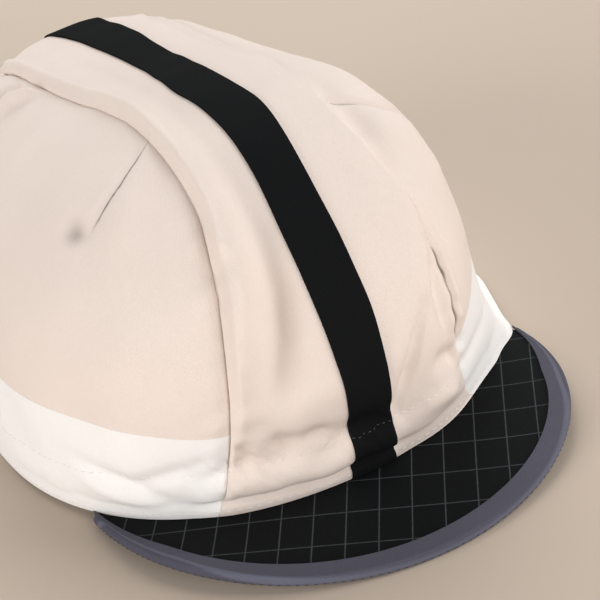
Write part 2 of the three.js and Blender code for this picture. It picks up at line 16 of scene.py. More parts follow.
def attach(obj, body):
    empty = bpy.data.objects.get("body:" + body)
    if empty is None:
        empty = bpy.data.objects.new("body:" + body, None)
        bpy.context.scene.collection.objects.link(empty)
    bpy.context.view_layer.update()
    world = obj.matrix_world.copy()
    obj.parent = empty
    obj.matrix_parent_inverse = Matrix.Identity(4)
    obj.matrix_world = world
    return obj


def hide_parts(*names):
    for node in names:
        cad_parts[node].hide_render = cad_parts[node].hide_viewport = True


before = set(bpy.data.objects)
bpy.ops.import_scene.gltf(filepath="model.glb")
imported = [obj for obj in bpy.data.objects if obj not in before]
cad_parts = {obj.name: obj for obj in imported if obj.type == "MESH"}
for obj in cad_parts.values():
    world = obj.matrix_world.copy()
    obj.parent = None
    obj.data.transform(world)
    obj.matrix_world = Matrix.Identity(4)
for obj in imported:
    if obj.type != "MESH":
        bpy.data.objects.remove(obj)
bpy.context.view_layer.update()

# %% [markdown]
# Sewing is measured in millimetres, so the sizes are too, and every point is turned into metres as
# it goes into a mesh. The origin is under the middle of the whole cap. The forms below are worked
# out from the middle of the head opening instead, and HEAD_MIDDLE says where that lies.

# %% Sizes
MM = 0.001
HEAD_MIDDLE = np.array([-0.83, 7.08, 0.0])
RIM_HALF_WIDTH = 82.0
RIM_FRONT = 95.5
RIM_BACK = 96.7
CROWN_HEIGHT = 100.0
FRONT_LIFT = 5.0
RIM_SQUARENESS_FRONT = 2.33
RIM_SQUARENESS_BACK = 2.03
TOP_SQUARENESS = 2.37
RIGHT_SWELL = 0.017
LEFT_TUCK = 0.148
FRONT_TUCK = 0.006
BACK_SWELL = 0.037
SKEW = 0.023
RIM_TUCK = 0.042
RIM_TUCK_AT = 0.62
RIM_TUCK_SPREAD = 0.24
RIM_BEND_HEIGHT = 12.0
BELLY_SLANT = 0.6  # under 1 puts the belly below the crown's middle
LIFT_SLANT = 1.15  # over 1 keeps the front's lift near the front
WALL = 1.2
HEM_WALL = 2.4
HEM_HEIGHT = 17.0
GAP = 0.06
BORDER_GAP = 0.03
PEAK_GAP = 0.3
CENTRE_HALF_WIDTH = 44.4
BAND_HEIGHT = 35.0
TAPE_WIDTH = 14.6
TAPE_THICK = 0.7
RIGHT = -1
LEFT = 1

# %% [markdown]
# The camera stands where the photographer's did: in front of the cap, a little to its right side,
# looking down, and turned a little about its own line of sight. It comes first because everything
# after it is judged through it.

# %% Camera
PICTURE = 600
FOCAL_PIXELS = 1922.8
SENSOR = 36.0
CAMERA_AZIMUTH = math.radians(-21.73)
CAMERA_ELEVATION = math.radians(28.28)
CAMERA_ROLL = math.radians(-11.44)
CAMERA_DISTANCE = 579.6
AIM = np.array([0.0, -20.7, 46.6])
AIM_PIXEL = (232.9, 246.6)


def add_camera():
    """The picture's camera, without shift."""
    a, e, r = CAMERA_AZIMUTH, CAMERA_ELEVATION, CAMERA_ROLL
    back = np.array([math.sin(a) * math.cos(e), -math.cos(a) * math.cos(e), math.sin(e)])
    level = np.array([math.cos(a), math.sin(a), 0.0])
    upright = np.cross(back, level)
    right = math.cos(r) * level + math.sin(r) * upright
    up = math.cos(r) * upright - math.sin(r) * level
    per_pixel = CAMERA_DISTANCE / FOCAL_PIXELS
    aside = (AIM_PIXEL[0] - PICTURE / 2) * per_pixel
    below = (AIM_PIXEL[1] - PICTURE / 2) * per_pixel
    place = AIM + HEAD_MIDDLE + back * CAMERA_DISTANCE - right * aside + up * below
    data = bpy.data.cameras.new("camera")
    data.sensor_width = SENSOR
    data.lens = FOCAL_PIXELS / PICTURE * SENSOR
    data.clip_start = 0.01
    camera = bpy.data.objects.new("camera", data)
    turn = Matrix([right, up, back]).transposed()
    camera.matrix_world = Matrix.Translation(place * MM) @ turn.to_4x4()
    bpy.context.scene.collection.objects.link(camera)
    bpy.context.scene.camera = camera
    return camera


camera = add_camera()
print("camera at", [round(x, 3) for x in camera.matrix_world.translation])

# %% [markdown]
# The crown's plain form is ruled by its centre line. A line turns from the front of the rim (0
# degrees) over the top to the back (180), and a short table says how far it reaches. Across the
# cap the form closes like a rounded box. Tables like these hold shares of the named sizes, so one
# size can change without the others being typed again.

# %% Tables of the crown's form
CENTRE_LINE = {"turn": [15, 35, 60, 90, 120, 150], "reach": [1.077, 1.155, 1.12, 0.985, 1.075, 1.325]}
SEAM_LINE = {
    "turn": [0, 10, 20, 26, 30, 35, 40, 45, 52, 60, 90, 120, 150, 180],
    RIGHT: [1.0, 0.925, 0.855, 0.81, 0.778, 0.73, 0.685, 0.635, 0.585, 0.566, 0.58, 0.629, 0.62, 0.67],
    LEFT: [0.955, 0.94, 0.93, 0.925, 0.885, 0.81, 0.775, 0.68, 0.58, 0.555, 0.58, 0.629, 0.62, 0.67],
}
TAPE_LINE = {
    "turn": [0, 10, 25, 43, 52, 65, 78, 95, 115, 180],
    "drift": [-0.02, -0.05, -0.05, -0.125, -0.06, 0.03, -0.045, 0.11, 0.17, 0.0],
    "width": [1.0, 0.94, 1.05, 0.98, 0.93, 1.0, 0.97, 0.87, 1.03, 1.0],
}
BAND_EDGE = {
    "round": [0, 0.14, 0.35, 0.7, 1],
    RIGHT: [0.84, 0.96, 1.02, 0.98, 0.9],
    LEFT: [0.74, 1.02, 1.04, 1.0, 0.9],
}
RIM_LINE = {
    "compass": [0.75, 0.85, 0.95, 1.05, 1.15, 1.25, 1.35, 1.5, 1.7, 1.95],
    "inward": [0, 0.002, -0.0165, 0.0034, 0.0076, -0.001, -0.019, -0.031, -0.03, 0],
}
HEM_PROFILE = {
    "height": [0, 0.2, 0.36, 0.43, 0.52, 0.68, 0.85, 1.0, 1.2, 1.6],
    "out": [0.45, 0.1, -0.5, 0.3, 0.8, 0.85, 0.25, -0.45, -0.25, 0],
}
HEM_FULLNESS = {
    "across": [-1, -0.62, -0.5, -0.1, 0.07, 0.15, 0.45, 1],
    "full": [0.12, 0.15, 1.0, 1.0, 0.7, 0.14, 0.1, 0.12],
}
ROLLED_EDGE = {
    "turn": [0, 15, 35, 50, 62, 90, 120, 150, 180],
    RIGHT: [0.1, 0.3, 0.5, 0.6, 1.0, 1.0, 0.9, 0.5, 0.2],
    LEFT: [0.1, 0.2, 0.5, 0.5, 0.5, 0.5, 0.5, 0.4, 0.2],
}


def curve_through(xs, ys):
    """A natural cubic curve through a table's rows, for arrays of x."""
    xs = np.asarray(xs, float)
    ys = np.asarray(ys, float)
    step = np.diff(xs)
    slope = np.diff(ys) / step
    rows = np.eye(len(xs))
    right_side = np.zeros(len(xs))
    for i in range(1, len(xs) - 1):
        rows[i, i - 1 : i + 2] = step[i - 1], 2 * (step[i - 1] + step[i]), step[i]
        right_side[i] = 6 * (slope[i] - slope[i - 1])
    bend = np.linalg.solve(rows, right_side)

    def curve(x):
        x = np.asarray(x, float)
        i = np.clip(np.searchsorted(xs, x), 1, len(xs) - 1)
        width = xs[i] - xs[i - 1]
        a = (xs[i] - x) / width
        b = 1 - a
        curl = ((a**3 - a) * bend[i - 1] + (b**3 - b) * bend[i]) * width**2 / 6
        return a * ys[i - 1] + b * ys[i] + curl

    return curve


reach_at = curve_through(
    [0, *CENTRE_LINE["turn"], 180],
    [RIM_FRONT, *(share * CROWN_HEIGHT for share in CENTRE_LINE["reach"]), RIM_BACK],
)
seam_curves = {
    side: curve_through(SEAM_LINE["turn"], np.array(SEAM_LINE[side]) * CENTRE_HALF_WIDTH)
    for side in (RIGHT, LEFT)
}
band_edge_at = {side: curve_through(BAND_EDGE["round"], BAND_EDGE[side]) for side in (RIGHT, LEFT)}
tape_drift_at = curve_through(TAPE_LINE["turn"], TAPE_LINE["drift"])
tape_width_at = curve_through(TAPE_LINE["turn"], TAPE_LINE["width"])
rim_bend_at = curve_through(RIM_LINE["compass"], RIM_LINE["inward"])
hem_profile_at = curve_through(HEM_PROFILE["height"], HEM_PROFILE["out"])


def half_width_at(turn, side):
    """The centre panel's half width at turns, on a side or on an array of sides."""
    return np.where(np.asarray(side) < 0, seam_curves[RIGHT](turn), seam_curves[LEFT](turn))


print("centre line reaches", round(float(reach_at(90)), 1), "mm at the top")

# %% [markdown]
# Every cloth piece has to lie on the same form, or its seams would not meet. So the form is a set
# of small functions on arrays of points: from a turn and a distance across, from any direction, or
# from a compass angle and a height.

# %% The plain form


def smooth_step(x, low, high):
    """0 below low, 1 above high, and a smooth rise between them."""
    share = np.clip((x - low) / (high - low), 0, 1)
    return share * share * (3 - 2 * share)


def bell(x, width):
    """1 at 0, with a soft fall on both sides that is nearly over at twice the width."""
    return np.exp(-((x / width) ** 2))


def squareness_at(turn):
    rim = np.where(turn < 90, RIM_SQUARENESS_FRONT, RIM_SQUARENESS_BACK)
    return rim + (TOP_SQUARENESS - rim) * np.sin(np.radians(turn)) ** 2


def plain_point(turn, across):
    """Points of the plain form at turns along the centre line and distances across."""
    turn, across = np.broadcast_arrays(np.asarray(turn, float), np.asarray(across, float))
    power = squareness_at(turn)
    share = np.minimum(np.abs(across) / RIM_HALF_WIDTH, 1)
    reach = reach_at(turn) * (1 - share**power) ** (1 / power)
    angle = np.radians(turn)
    return np.stack([across, -reach * np.cos(angle), reach * np.sin(angle)], -1)


def turn_of(point):
    return np.degrees(np.arctan2(point[..., 2], -point[..., 1]))


def plain_toward(point):
    """Points of the plain form in the directions of any points."""
    turn = turn_of(point)
    power = squareness_at(turn)
    slope = np.abs(point[..., 0]) / np.hypot(point[..., 1], point[..., 2])
    reach = ((slope / RIM_HALF_WIDTH) ** power + (1 / reach_at(turn)) ** power) ** (-1 / power)
    return plain_point(turn, np.sign(point[..., 0]) * slope * reach)


def halve(low, high, is_below, steps=24):
    """The value between two arrays where is_below turns false, by halving."""
    for _ in range(steps):
        middle = (low + high) / 2
        below = is_below(middle)
        low = np.where(below, middle, low)
        high = np.where(below, high, middle)
    return (low + high) / 2


def plain_at_height(compass, height):
    """Points at compass angles (0 at the front, towards +X) and heights above the rim."""
    compass, height = np.broadcast_arrays(np.asarray(compass, float), np.asarray(height, float))

    def at(tilt):
        flat = np.cos(tilt)
        way = np.stack([flat * np.sin(compass), -flat * np.cos(compass), np.sin(tilt)], -1)
        return plain_toward(way)

    quarter = np.full(compass.shape, math.pi / 2)
    tilt = halve(np.zeros(compass.shape), quarter, lambda middle: at(middle)[..., 2] < height)
    return at(np.where(height > 0, tilt, 0.0))


def seam_turn_at(height, from_front, side):
    """The turn at which the seam passes a height, from the front or from the back."""
    height = np.asarray(height, float)
    low = np.full(height.shape, 0.0 if from_front else 180.0)
    high = np.full(height.shape, 90.0)

    def is_below(middle):
        return plain_point(middle, half_width_at(middle, side))[..., 2] < height

    turn = halve(low, high, is_below)
    return np.where(height > 0, turn, low)


print("rim's front:", plain_point(0, 0).round(1), "side:", plain_point(0, RIM_HALF_WIDTH).round(1))

# %% [markdown]
# Cloth never keeps the plain form. It bellies out at one side, is pushed in at the other, and takes
# folds where it is slack. The folds are a table with one row for each, because that is how they are
# found: by looking at one crease after another and asking where it starts, where it ends, how wide
# it is and how deep. A fold is on the centre panel alone, on the sides alone or on all of the cloth,
# because a seam often stops one.

# %% Folds and dents
ALL, CENTRE, SIDE = "all", "centre", "side"
CENTRE_EDGE, SIDE_EDGE = "centre to its edge", "side to its edge"
SEAM_STEP = 3.5
FOLDS = [
    # name, on, width, points along it: turn, share across, rise
    ("roll inside right seam", CENTRE, 0.055, [
        (140, -0.26, 0.0), (112, -0.265, 0.02), (98, -0.25, 0.024), (82, -0.25, 0.024),
        (66, -0.25, 0.024), (55, -0.25, 0.034), (48.8, -0.259, 0.046), (42.5, -0.276, 0.052),
        (36, -0.302, 0.055), (30.8, -0.345, 0.042), (24, -0.40, 0.022), (17, -0.43, 0.0),
    ]),
    ("valley beside that roll", CENTRE, 0.055, [
        (112, -0.19, -0.004), (82, -0.185, -0.01), (60, -0.18, -0.01), (47, -0.195, -0.022),
        (41, -0.205, -0.036), (35, -0.225, -0.05), (29, -0.252, -0.058), (24, -0.29, -0.046),
        (18, -0.34, -0.018),
    ]),
    ("hollow along the hem", CENTRE, 0.04, [
        (11.5, -0.42, -0.012), (11.5, -0.22, -0.018), (11, 0.0, -0.012),
    ]),
    ("slack over that hollow", CENTRE, 0.06, [(19, -0.36, 0.008), (19, -0.12, 0.012)]),
    ("pocket beside the right seam", CENTRE_EDGE, 0.024, [
        (56, -0.30, -0.002), (52, -0.305, -0.013), (48, -0.32, -0.014), (45.5, -0.33, -0.002),
    ]),
    ("lower pocket", CENTRE_EDGE, 0.026, [
        (43, -0.34, -0.002), (40.5, -0.35, -0.016), (37.5, -0.37, -0.016), (34.5, -0.385, -0.002),
    ]),
    ("knuckle between the pockets", CENTRE, 0.025, [(44.5, -0.33, 0.02), (43.5, -0.29, 0.008)]),
    ("right dart", SIDE, 0.02, [
        (67.5, -0.309, -0.006), (65, -0.381, -0.011), (62.5, -0.463, -0.012),
        (61.3, -0.521, -0.012), (60, -0.571, -0.011), (58.8, -0.61, -0.006),
    ]),
    ("swell under the right dart", SIDE, 0.06, [(62, -0.36, 0.008), (56, -0.52, 0.01)]),
    ("dimple at the right dart", ALL, 0.03, [
        (62.6, -0.652, -0.012), (61.3, -0.645, -0.016), (60.2, -0.639, -0.012),
    ]),
    ("roll at the back of the right seam", SIDE, 0.024, [
        (112, -0.352, 0.004), (116, -0.385, 0.03), (119, -0.44, 0.04), (120.5, -0.50, 0.03),
        (122, -0.60, 0.006),
    ]),
    ("valley behind that roll", SIDE, 0.03, [
        (119, -0.36, -0.01), (123, -0.395, -0.045), (124.8, -0.45, -0.06), (126, -0.52, -0.05),
        (128, -0.62, -0.02),
    ]),
    ("hollow outside the left seam", SIDE, 0.045, [
        (72, 0.35, 0.0), (62, 0.35, -0.012), (53, 0.36, -0.018), (47, 0.39, -0.01), (42, 0.43, 0.0),
    ]),
    ("raised edge of the left side", SIDE_EDGE, 0.022, [
        (47, 0.37, 0.0), (40, 0.435, 0.007), (32, 0.49, 0.011), (26, 0.52, 0.013),
        (20, 0.525, 0.012), (15, 0.52, 0.0),
    ]),
    ("fall to the left seam", CENTRE_EDGE, 0.026, [
        (50, 0.32, -0.002), (42, 0.40, -0.007), (32, 0.455, -0.012), (25, 0.50, -0.014),
        (18, 0.50, -0.012), (13, 0.50, 0.0),
    ]),
    ("roll inside left seam", CENTRE, 0.06, [
        (104, 0.24, 0.0), (80, 0.24, 0.012), (66, 0.24, 0.02), (54, 0.26, 0.028),
        (45, 0.30, 0.034), (39, 0.335, 0.036), (32, 0.345, 0.034), (26, 0.31, 0.022),
        (20, 0.22, 0.012), (16, 0.14, 0.0),
    ]),
    ("fall between that roll and the seam", CENTRE, 0.035, [
        (31, 0.40, -0.012), (26, 0.41, -0.026), (21, 0.42, -0.022), (17, 0.44, -0.012),
    ]),
    ("left dart", SIDE, 0.018, [
        (63.2, 0.296, -0.012), (61.3, 0.391, -0.016), (60, 0.506, -0.018), (61.5, 0.707, -0.016),
    ]),
    ("swell before the left dart", SIDE, 0.09, [(54, 0.48, 0.016), (48, 0.66, 0.02)]),
    ("slack fold above the hem", CENTRE, 0.026, [
        (25, 0.30, -0.01), (21, 0.24, -0.028), (16.5, 0.18, -0.028), (12, 0.11, -0.014),
    ]),
    ("roll above that fold", CENTRE, 0.04, [(27, 0.21, 0.004), (21, 0.16, 0.01), (15, 0.09, 0.006)]),
    ("dent by the left seam", CENTRE, 0.035, [(15, 0.36, -0.018), (13.5, 0.45, -0.03)]),
    ("swell under that dent", CENTRE, 0.04, [(8, 0.27, 0.012), (7.5, 0.40, 0.02)]),
    ("first dimple over the hem", CENTRE, 0.036, [(13.2, -0.33, -0.024), (12.6, -0.31, -0.024)]),
    ("second dimple over the hem", CENTRE, 0.034, [(12, -0.21, -0.02), (11.6, -0.19, -0.02)]),
    ("dimple in the hem's corner", CENTRE, 0.034, [(14, -0.46, -0.018), (12, -0.455, -0.018)]),
    ("first puff of the hem", CENTRE, 0.04, [(10.4, -0.405, 0.013), (10.2, -0.38, 0.013)]),
    ("second puff of the hem", CENTRE, 0.04, [(9.6, -0.265, 0.013), (9.4, -0.24, 0.013)]),
    ("crease along the right band", ALL, 0.03, [
        (19, -0.87, -0.008), (12, -0.79, -0.019), (7, -0.71, -0.017), (4, -0.62, -0.006),
    ]),
    ("ridge below that crease", ALL, 0.03, [
        (13, -0.86, 0.008), (7, -0.79, 0.015), (4, -0.72, 0.009),
    ]),
    ("second crease in the right band", ALL, 0.03, [(13, -0.58, -0.01), (11, -0.74, -0.013)]),
    ("fold in the left band", ALL, 0.03, [
        (14, 0.82, -0.004), (10.5, 0.664, -0.01), (9.2, 0.553, -0.01),
    ]),
    ("slack at the back", ALL, 0.09, [(158, -0.20, -0.02), (150, 0.30, -0.02)]),
    ("roll above the slack", ALL, 0.10, [(140, -0.15, 0.018), (136, 0.25, 0.018)]),
]


def unit(vectors):
    return vectors / np.linalg.norm(vectors, axis=-1, keepdims=True)


def past_seam(plain):
    """Distance across from the long seam, negative on the centre panel."""
    return np.abs(plain[..., 0]) - half_width_at(turn_of(plain), np.sign(plain[..., 0]))


def nearest_on(line, away, size):
    """How far points lie from a drawn line, with a sign for the side, and the line's value there.

    The points are given as directions and sizes, the line as rows of turn, share across and value.
    """
    turns, across, values = np.array(line).T
    spots = unit(plain_point(turns, across * RIM_HALF_WIDTH))
    nearest = np.full(size.shape, np.inf)
    value = np.zeros(size.shape)
    for i in range(len(line) - 1):
        along = spots[i + 1] - spots[i]
        share = np.clip((away - spots[i]) @ along / (along @ along), 0, 1)
        foot = unit(spots[i] + share[..., None] * along)
        side = np.where((away - foot) @ np.cross(along, spots[i]) < 0, -1, 1)
        distance = np.linalg.norm(foot - away, axis=-1) * size
        closer = distance < np.abs(nearest)
        nearest = np.where(closer, distance * side, nearest)
        value = np.where(closer, values[i] + (values[i + 1] - values[i]) * share, value)
    return nearest, value


def fold_relief(plain):
    """How far the folds lift or sink the cloth at plain points."""
    away = unit(plain)
    size = np.linalg.norm(plain, axis=-1)
    past = past_seam(plain)
    part = {
        ALL: 1.0, CENTRE: smooth_step(-past, 0, SEAM_STEP), SIDE: smooth_step(past, 0, SEAM_STEP),
        CENTRE_EDGE: past <= 0, SIDE_EDGE: past > 0,
    }
    total = np.zeros(size.shape)
    for _, on, width, points in FOLDS:
        distance, height = nearest_on(points, away, size)
        total += part[on] * height * CROWN_HEIGHT * bell(distance, width * CROWN_HEIGHT)
    return total


print(len(FOLDS), "folds and dents")

# %% [markdown]
# Sewing leaves its own relief. A seam pulls both panels into a ditch, and the thread gathers them
# into little puckers. The hem is two layers with air between them, so it swells between its
# stitch line and its edge. Broad, faint waves keep the cloth from looking like sheet metal.

# %% Seams, hem and slack cloth
SEAM_DITCH = 1.0
DITCH_WIDTH = 2.2
ROLL_RISE = 2.0
ROLL_INSIDE = 2.6
ROLL_WIDTH = 2.1
TURN_IN = 0.7
TURN_WIDTH = 0.6
OVERLAP_SHARE = 0.35  # share of the ditch that is left where the seam isn't gathered
PUCKER_RISE = 0.35
PUCKER_SPACINGS = (17.0, 11.3, 6.7)
PUCKER_REACH = 6.0
SIDE_SHIFT = 40  # sets the puckers of the two seams out of step
GATHERED_FRONT = (45, 62)  # degrees up from the front hem over which the gathers end
GATHERED_BACK = (45, 65)  # and up from the back hem
WAVE_RISE = 0.22
WAVE_LENGTHS = (16.0, 44.0)
WAVES = 28
rng = np.random.default_rng(11)
wave_ways = unit(rng.normal(size=(WAVES, 3)))
wave_lengths = rng.uniform(*WAVE_LENGTHS, WAVES)
wave_starts = rng.uniform(0, 2 * math.pi, WAVES)


def ripple(along):
    """An uneven wave from about -1 to 1 along a line of stitching."""
    parts = [np.sin(2 * math.pi * along / spacing + spacing) for spacing in PUCKER_SPACINGS]
    return sum(parts) / 2


def seam_relief(plain):
    """The centre panel's rolled edge, the ditch outside it and the puckers of the long seams."""
    away = past_seam(plain)
    turn = turn_of(plain)
    along = np.radians(turn) * CROWN_HEIGHT + SIDE_SHIFT * np.sign(plain[..., 0])
    gathered = 1 - smooth_step(turn, *GATHERED_FRONT) * smooth_step(180 - turn, *GATHERED_BACK)
    open_share = OVERLAP_SHARE + (1 - OVERLAP_SHARE) * gathered
    ditch = -SEAM_DITCH * open_share * bell(away, DITCH_WIDTH) * (away > 0)
    rolled = np.where(plain[..., 0] < 0, *(
        np.interp(turn, ROLLED_EDGE["turn"], ROLLED_EDGE[side]) for side in (RIGHT, LEFT)
    ))
    roll = ROLL_RISE * rolled * bell(away + ROLL_INSIDE, ROLL_WIDTH) * (away <= 0)
    turned = -TURN_IN * open_share * bell(away, TURN_WIDTH)
    pucker = PUCKER_RISE * ripple(along) * bell(away, PUCKER_REACH)
    return ditch + roll + turned + gathered * pucker


def slack_relief(plain):
    """Faint waves in every direction."""
    phase = (plain @ wave_ways.T) * (2 * math.pi / wave_lengths) + wave_starts
    return WAVE_RISE * np.sin(phase).sum(-1) / math.sqrt(WAVES / 2)


HEM_AT_BACK = 0.4
HEM_WANDER = 0.12
HEM_PUCKER = 0.6
HEM_PUCKER_REACH = 6.0
HEM_PUCKER_PITCH = 1.7  # over 1 sets the puckers closer together
WANDER_PITCH = 0.4  # under 1 makes the hem's unevenness longer
STITCH_GROOVE = 0.1
GROOVE_WIDTH = 0.8
HEM_STITCH_HEIGHT = 17.0
EDGE_STITCH_HEIGHT = 2.1


def hem_relief(plain):
    """The hem's swelling between its stitches and its edge, fullest on the centre panel."""
    across = plain[..., 0] / RIM_HALF_WIDTH
    full = np.interp(across, HEM_FULLNESS["across"], HEM_FULLNESS["full"])
    at_back = HEM_AT_BACK * smooth_step(plain[..., 1], 0, RIM_BACK / 2)
    full = full * smooth_step(-plain[..., 1], 0, RIM_FRONT / 3) + at_back
    along = np.arctan2(plain[..., 0], -plain[..., 1]) * RIM_FRONT
    share = plain[..., 2] / HEM_HEIGHT
    share = share * (1 + HEM_WANDER * ripple(WANDER_PITCH * along))
    swelling = np.where(share < HEM_PROFILE["height"][-1], hem_profile_at(share) * HEM_WALL, 0.0)
    near = bell(plain[..., 2] - HEM_HEIGHT, HEM_PUCKER_REACH)
    pucker = HEM_PUCKER * ripple(HEM_PUCKER_PITCH * along + plain[..., 2]) * near
    groove = sum(
        -STITCH_GROOVE * bell(plain[..., 2] - height, GROOVE_WIDTH)
        for height in (HEM_STITCH_HEIGHT, EDGE_STITCH_HEIGHT)
    )
    return full * (swelling + groove + pucker * smooth_step(plain[..., 2], 0, HEM_HEIGHT / 2))


def relief(plain):
    """All of the cloth's relief above the settled form."""
    free = smooth_step(plain[..., 2], 0, HEM_HEIGHT)
    return free * (fold_relief(plain) + seam_relief(plain) + slack_relief(plain)) + hem_relief(plain)


# %% [markdown]
# The last step puts the relief on. The settled form moves each plain point, and its outward
# direction comes from two small steps along the form. At the rim that direction is laid level, so
# the hem's lower edge stays flat on the table.

# %% The settled cloth


def settled(plain):
    """The form as the cap has slumped, without its relief."""
    x, y, z = plain[..., 0], plain[..., 1], plain[..., 2]
    height = np.clip(z / CROWN_HEIGHT, 0, 1)
    belly = np.sin(math.pi * height**BELLY_SLANT)
    sideways = np.where(x < 0, RIGHT_SWELL, -LEFT_TUCK)
    lengthways = np.where(y < 0, -FRONT_TUCK, BACK_SWELL)
    forward = np.clip(-y / RIM_FRONT, 0, 1)
    compass = np.arctan2(x / RIM_HALF_WIDTH, -y / RIM_FRONT)
    tuck = RIM_TUCK * bell(compass - RIM_TUCK_AT, RIM_TUCK_SPREAD) * (1 - height) ** 2
    bend = rim_bend_at(np.clip(compass, RIM_LINE["compass"][0], RIM_LINE["compass"][-1]))
    tuck = tuck + bend * bell(z, RIM_BEND_HEIGHT)
    return np.stack([
        x * (1 + sideways * belly - tuck),
        y * (1 + lengthways * belly - tuck) + SKEW * x,
        z + FRONT_LIFT * forward**LIFT_SLANT * (1 - height),
    ], -1)


def outward_at(plain):
    """Outward directions of the settled form."""
    step = 0.5
    sideways = np.stack([-plain[..., 1], plain[..., 0], np.zeros(plain.shape[:-1])], -1)
    short = np.linalg.norm(sideways, axis=-1, keepdims=True) < 1
    sideways = step * unit(np.where(short, [0.0, 1.0, 0.0], sideways))
    upward = step * unit(np.cross(plain, sideways))
    upward *= np.where(upward[..., 2:] < 0, -1, 1)
    here = settled(plain)
    across = settled(plain_toward(plain + sideways)) - here
    up = settled(plain_toward(plain + upward)) - here
    outward = np.cross(across, up)
    outward *= np.sign((outward * plain).sum(-1, keepdims=True))
    outward[..., 2] *= smooth_step(plain[..., 2], 0, HEM_HEIGHT / 2)
    return unit(outward)


def cloth(plain, depth):
    """Points of the cloth at a depth below its outer face, in millimetres."""
    lift = relief(plain) - depth
    return settled(plain) + outward_at(plain) * np.asarray(lift)[..., None] + HEAD_MIDDLE


def wall_at(plain):
    thin = smooth_step(plain[..., 2], HEM_HEIGHT, HEM_HEIGHT * HEM_PROFILE["height"][-1])
    return HEM_WALL + (WALL - HEM_WALL) * thin


print("top of the crown:", cloth(plain_point(90, 0), 0).round(1))

# %% [markdown]
# A sewn panel could be modelled by hand, vertex by vertex, or cut from a sphere. Here each one is a
# flat grid whose vertices are carried to the cloth. The whole grid is then extruded onto itself,
# and the copy is carried to the inner face. That closes the wall round all four edges at once. The
# panel's own measure, along and across the cloth, becomes its UV map, so that a weave keeps its
# real scale.

# %% Panels from grids
SHARP_ANGLE = math.radians(50)


def grid_mesh(columns, rows):
    """A bmesh grid, and each vertex's column and row share from 0 to 1."""
    mesh = bmesh.new()
    bmesh.ops.create_grid(mesh, x_segments=columns, y_segments=rows, size=1)
    mesh.verts.ensure_lookup_table()
    places = np.array([vert.co[:] for vert in mesh.verts])
    return mesh, (places[:, 0] + 1) / 2, (places[:, 1] + 1) / 2


def move_to(verts, points):
    for vert, point in zip(verts, points * MM):
        vert.co = point


def object_of(name, mesh):
    """An object in the scene made of a bmesh, which is then freed."""
    data = bpy.data.meshes.new(name)
    mesh.to_mesh(data)
    mesh.free()
    made = bpy.data.objects.new(name, data)
    bpy.context.scene.collection.objects.link(made)
    return made


def cloth_measure(points, u, v):
    """Distances along the grid's rows and columns, in metres, from the middle of each."""
    us, columns = np.unique(u.round(6), return_inverse=True)
    vs, rows = np.unique(v.round(6), return_inverse=True)
    sheet = np.zeros((len(us), len(vs), 3))
    sheet[columns, rows] = points * MM
    across = np.linalg.norm(np.diff(sheet, axis=0), axis=-1)
    along = np.linalg.norm(np.diff(sheet, axis=1), axis=-1)
    s = np.concatenate([np.zeros((1, len(vs))), np.cumsum(across, 0)])
    t = np.concatenate([np.zeros((len(us), 1)), np.cumsum(along, 1)], 1)
    s -= s[len(us) // 2]
    t -= t[:, :1]
    return np.stack([s[columns, rows], t[columns, rows]], -1)


def wall_between(name, columns, rows, outer, inner, measure=None):
    """A closed wall between two functions of the grid's shares, as a smooth-shaded object."""
    mesh, u, v = grid_mesh(columns, rows)
    number = mesh.verts.layers.int.new("number")
    for index, vert in enumerate(mesh.verts):
        vert[number] = index
    outside = outer(u, v)
    inside = inner(u, v)
    flat = cloth_measure(outside, u, v) if measure is None else measure(outside)
    move_to(mesh.verts, outside)
    made = bmesh.ops.extrude_face_region(mesh, geom=mesh.faces[:], use_keep_orig=True)
    copies = [item for item in made["geom"] if isinstance(item, bmesh.types.BMVert)]
    move_to(copies, inside[[vert[number] for vert in copies]])
    layer = mesh.loops.layers.uv.new("cloth")
    for face in mesh.faces:
        face.smooth = True
        for loop in face.loops:
            loop[layer].uv = flat[loop.vert[number]]
    bmesh.ops.recalc_face_normals(mesh, faces=mesh.faces[:])
    for edge in mesh.edges:
        edge.smooth = edge.calc_face_angle(0.0) < SHARP_ANGLE
    piece = object_of(name, mesh)
    print(name, "has", len(piece.data.polygons), "faces")
    return piece


# %% [markdown]
# A few creases are sharper than any grid. Each is a short line drawn on the cloth, and every point
# of a piece keeps its distance from the nearest one, for the material to paint as a thin line of
# shade and a groove in its bump. The painted shadow in the dent at the end of the right dart is kept
# in the same way.

# %% Creases
CREASE_REACH = 3.3
LEFT_SEAM_CREASE = [(47, 0.2), (41, 0.7), (34, 1.0), (28, 1.0), (22, 1.0), (15, 0.8), (5, 0.5)]
CREASES = [
    # width, points along it: turn, share across, strength
    (0.45, [
        (67.3, -0.315, 0.3), (65, -0.381, 0.8), (62.5, -0.463, 1.0), (61.3, -0.521, 1.0),
        (60, -0.571, 0.8), (58.8, -0.612, 0.1),
    ]),
    (0.4, [(63.2, 0.31, 0.1), (61.3, 0.391, 0.5), (60, 0.506, 0.6), (61.5, 0.70, 0.4)]),
    (0.5, [
        (turn, float(half_width_at(turn, LEFT)) / RIM_HALF_WIDTH, strength)
        for turn, strength in LEFT_SEAM_CREASE
    ]),
]
DENT = (61.4, -0.647, 3.1, 0.5)


def crease_at(plain):
    """The distance from the nearest sharp crease, with a sign, its strength and its width."""
    away = unit(plain)
    size = np.linalg.norm(plain, axis=-1)
    nearest = np.full(size.shape, np.inf)
    strength = np.zeros(size.shape)
    broad = np.zeros(size.shape)
    for width, crease in CREASES:
        distance, value = nearest_on(crease, away, size)
        closer = np.abs(distance) < np.abs(nearest)
        nearest = np.where(closer, distance, nearest)
        strength = np.where(closer, value, strength)
        broad = np.where(closer, width, broad)
    strength = strength * (np.abs(nearest) < CREASE_REACH)
    nearest = np.clip(nearest, -CREASE_REACH, CREASE_REACH)
    return np.stack([nearest * MM, strength, broad * MM], -1)


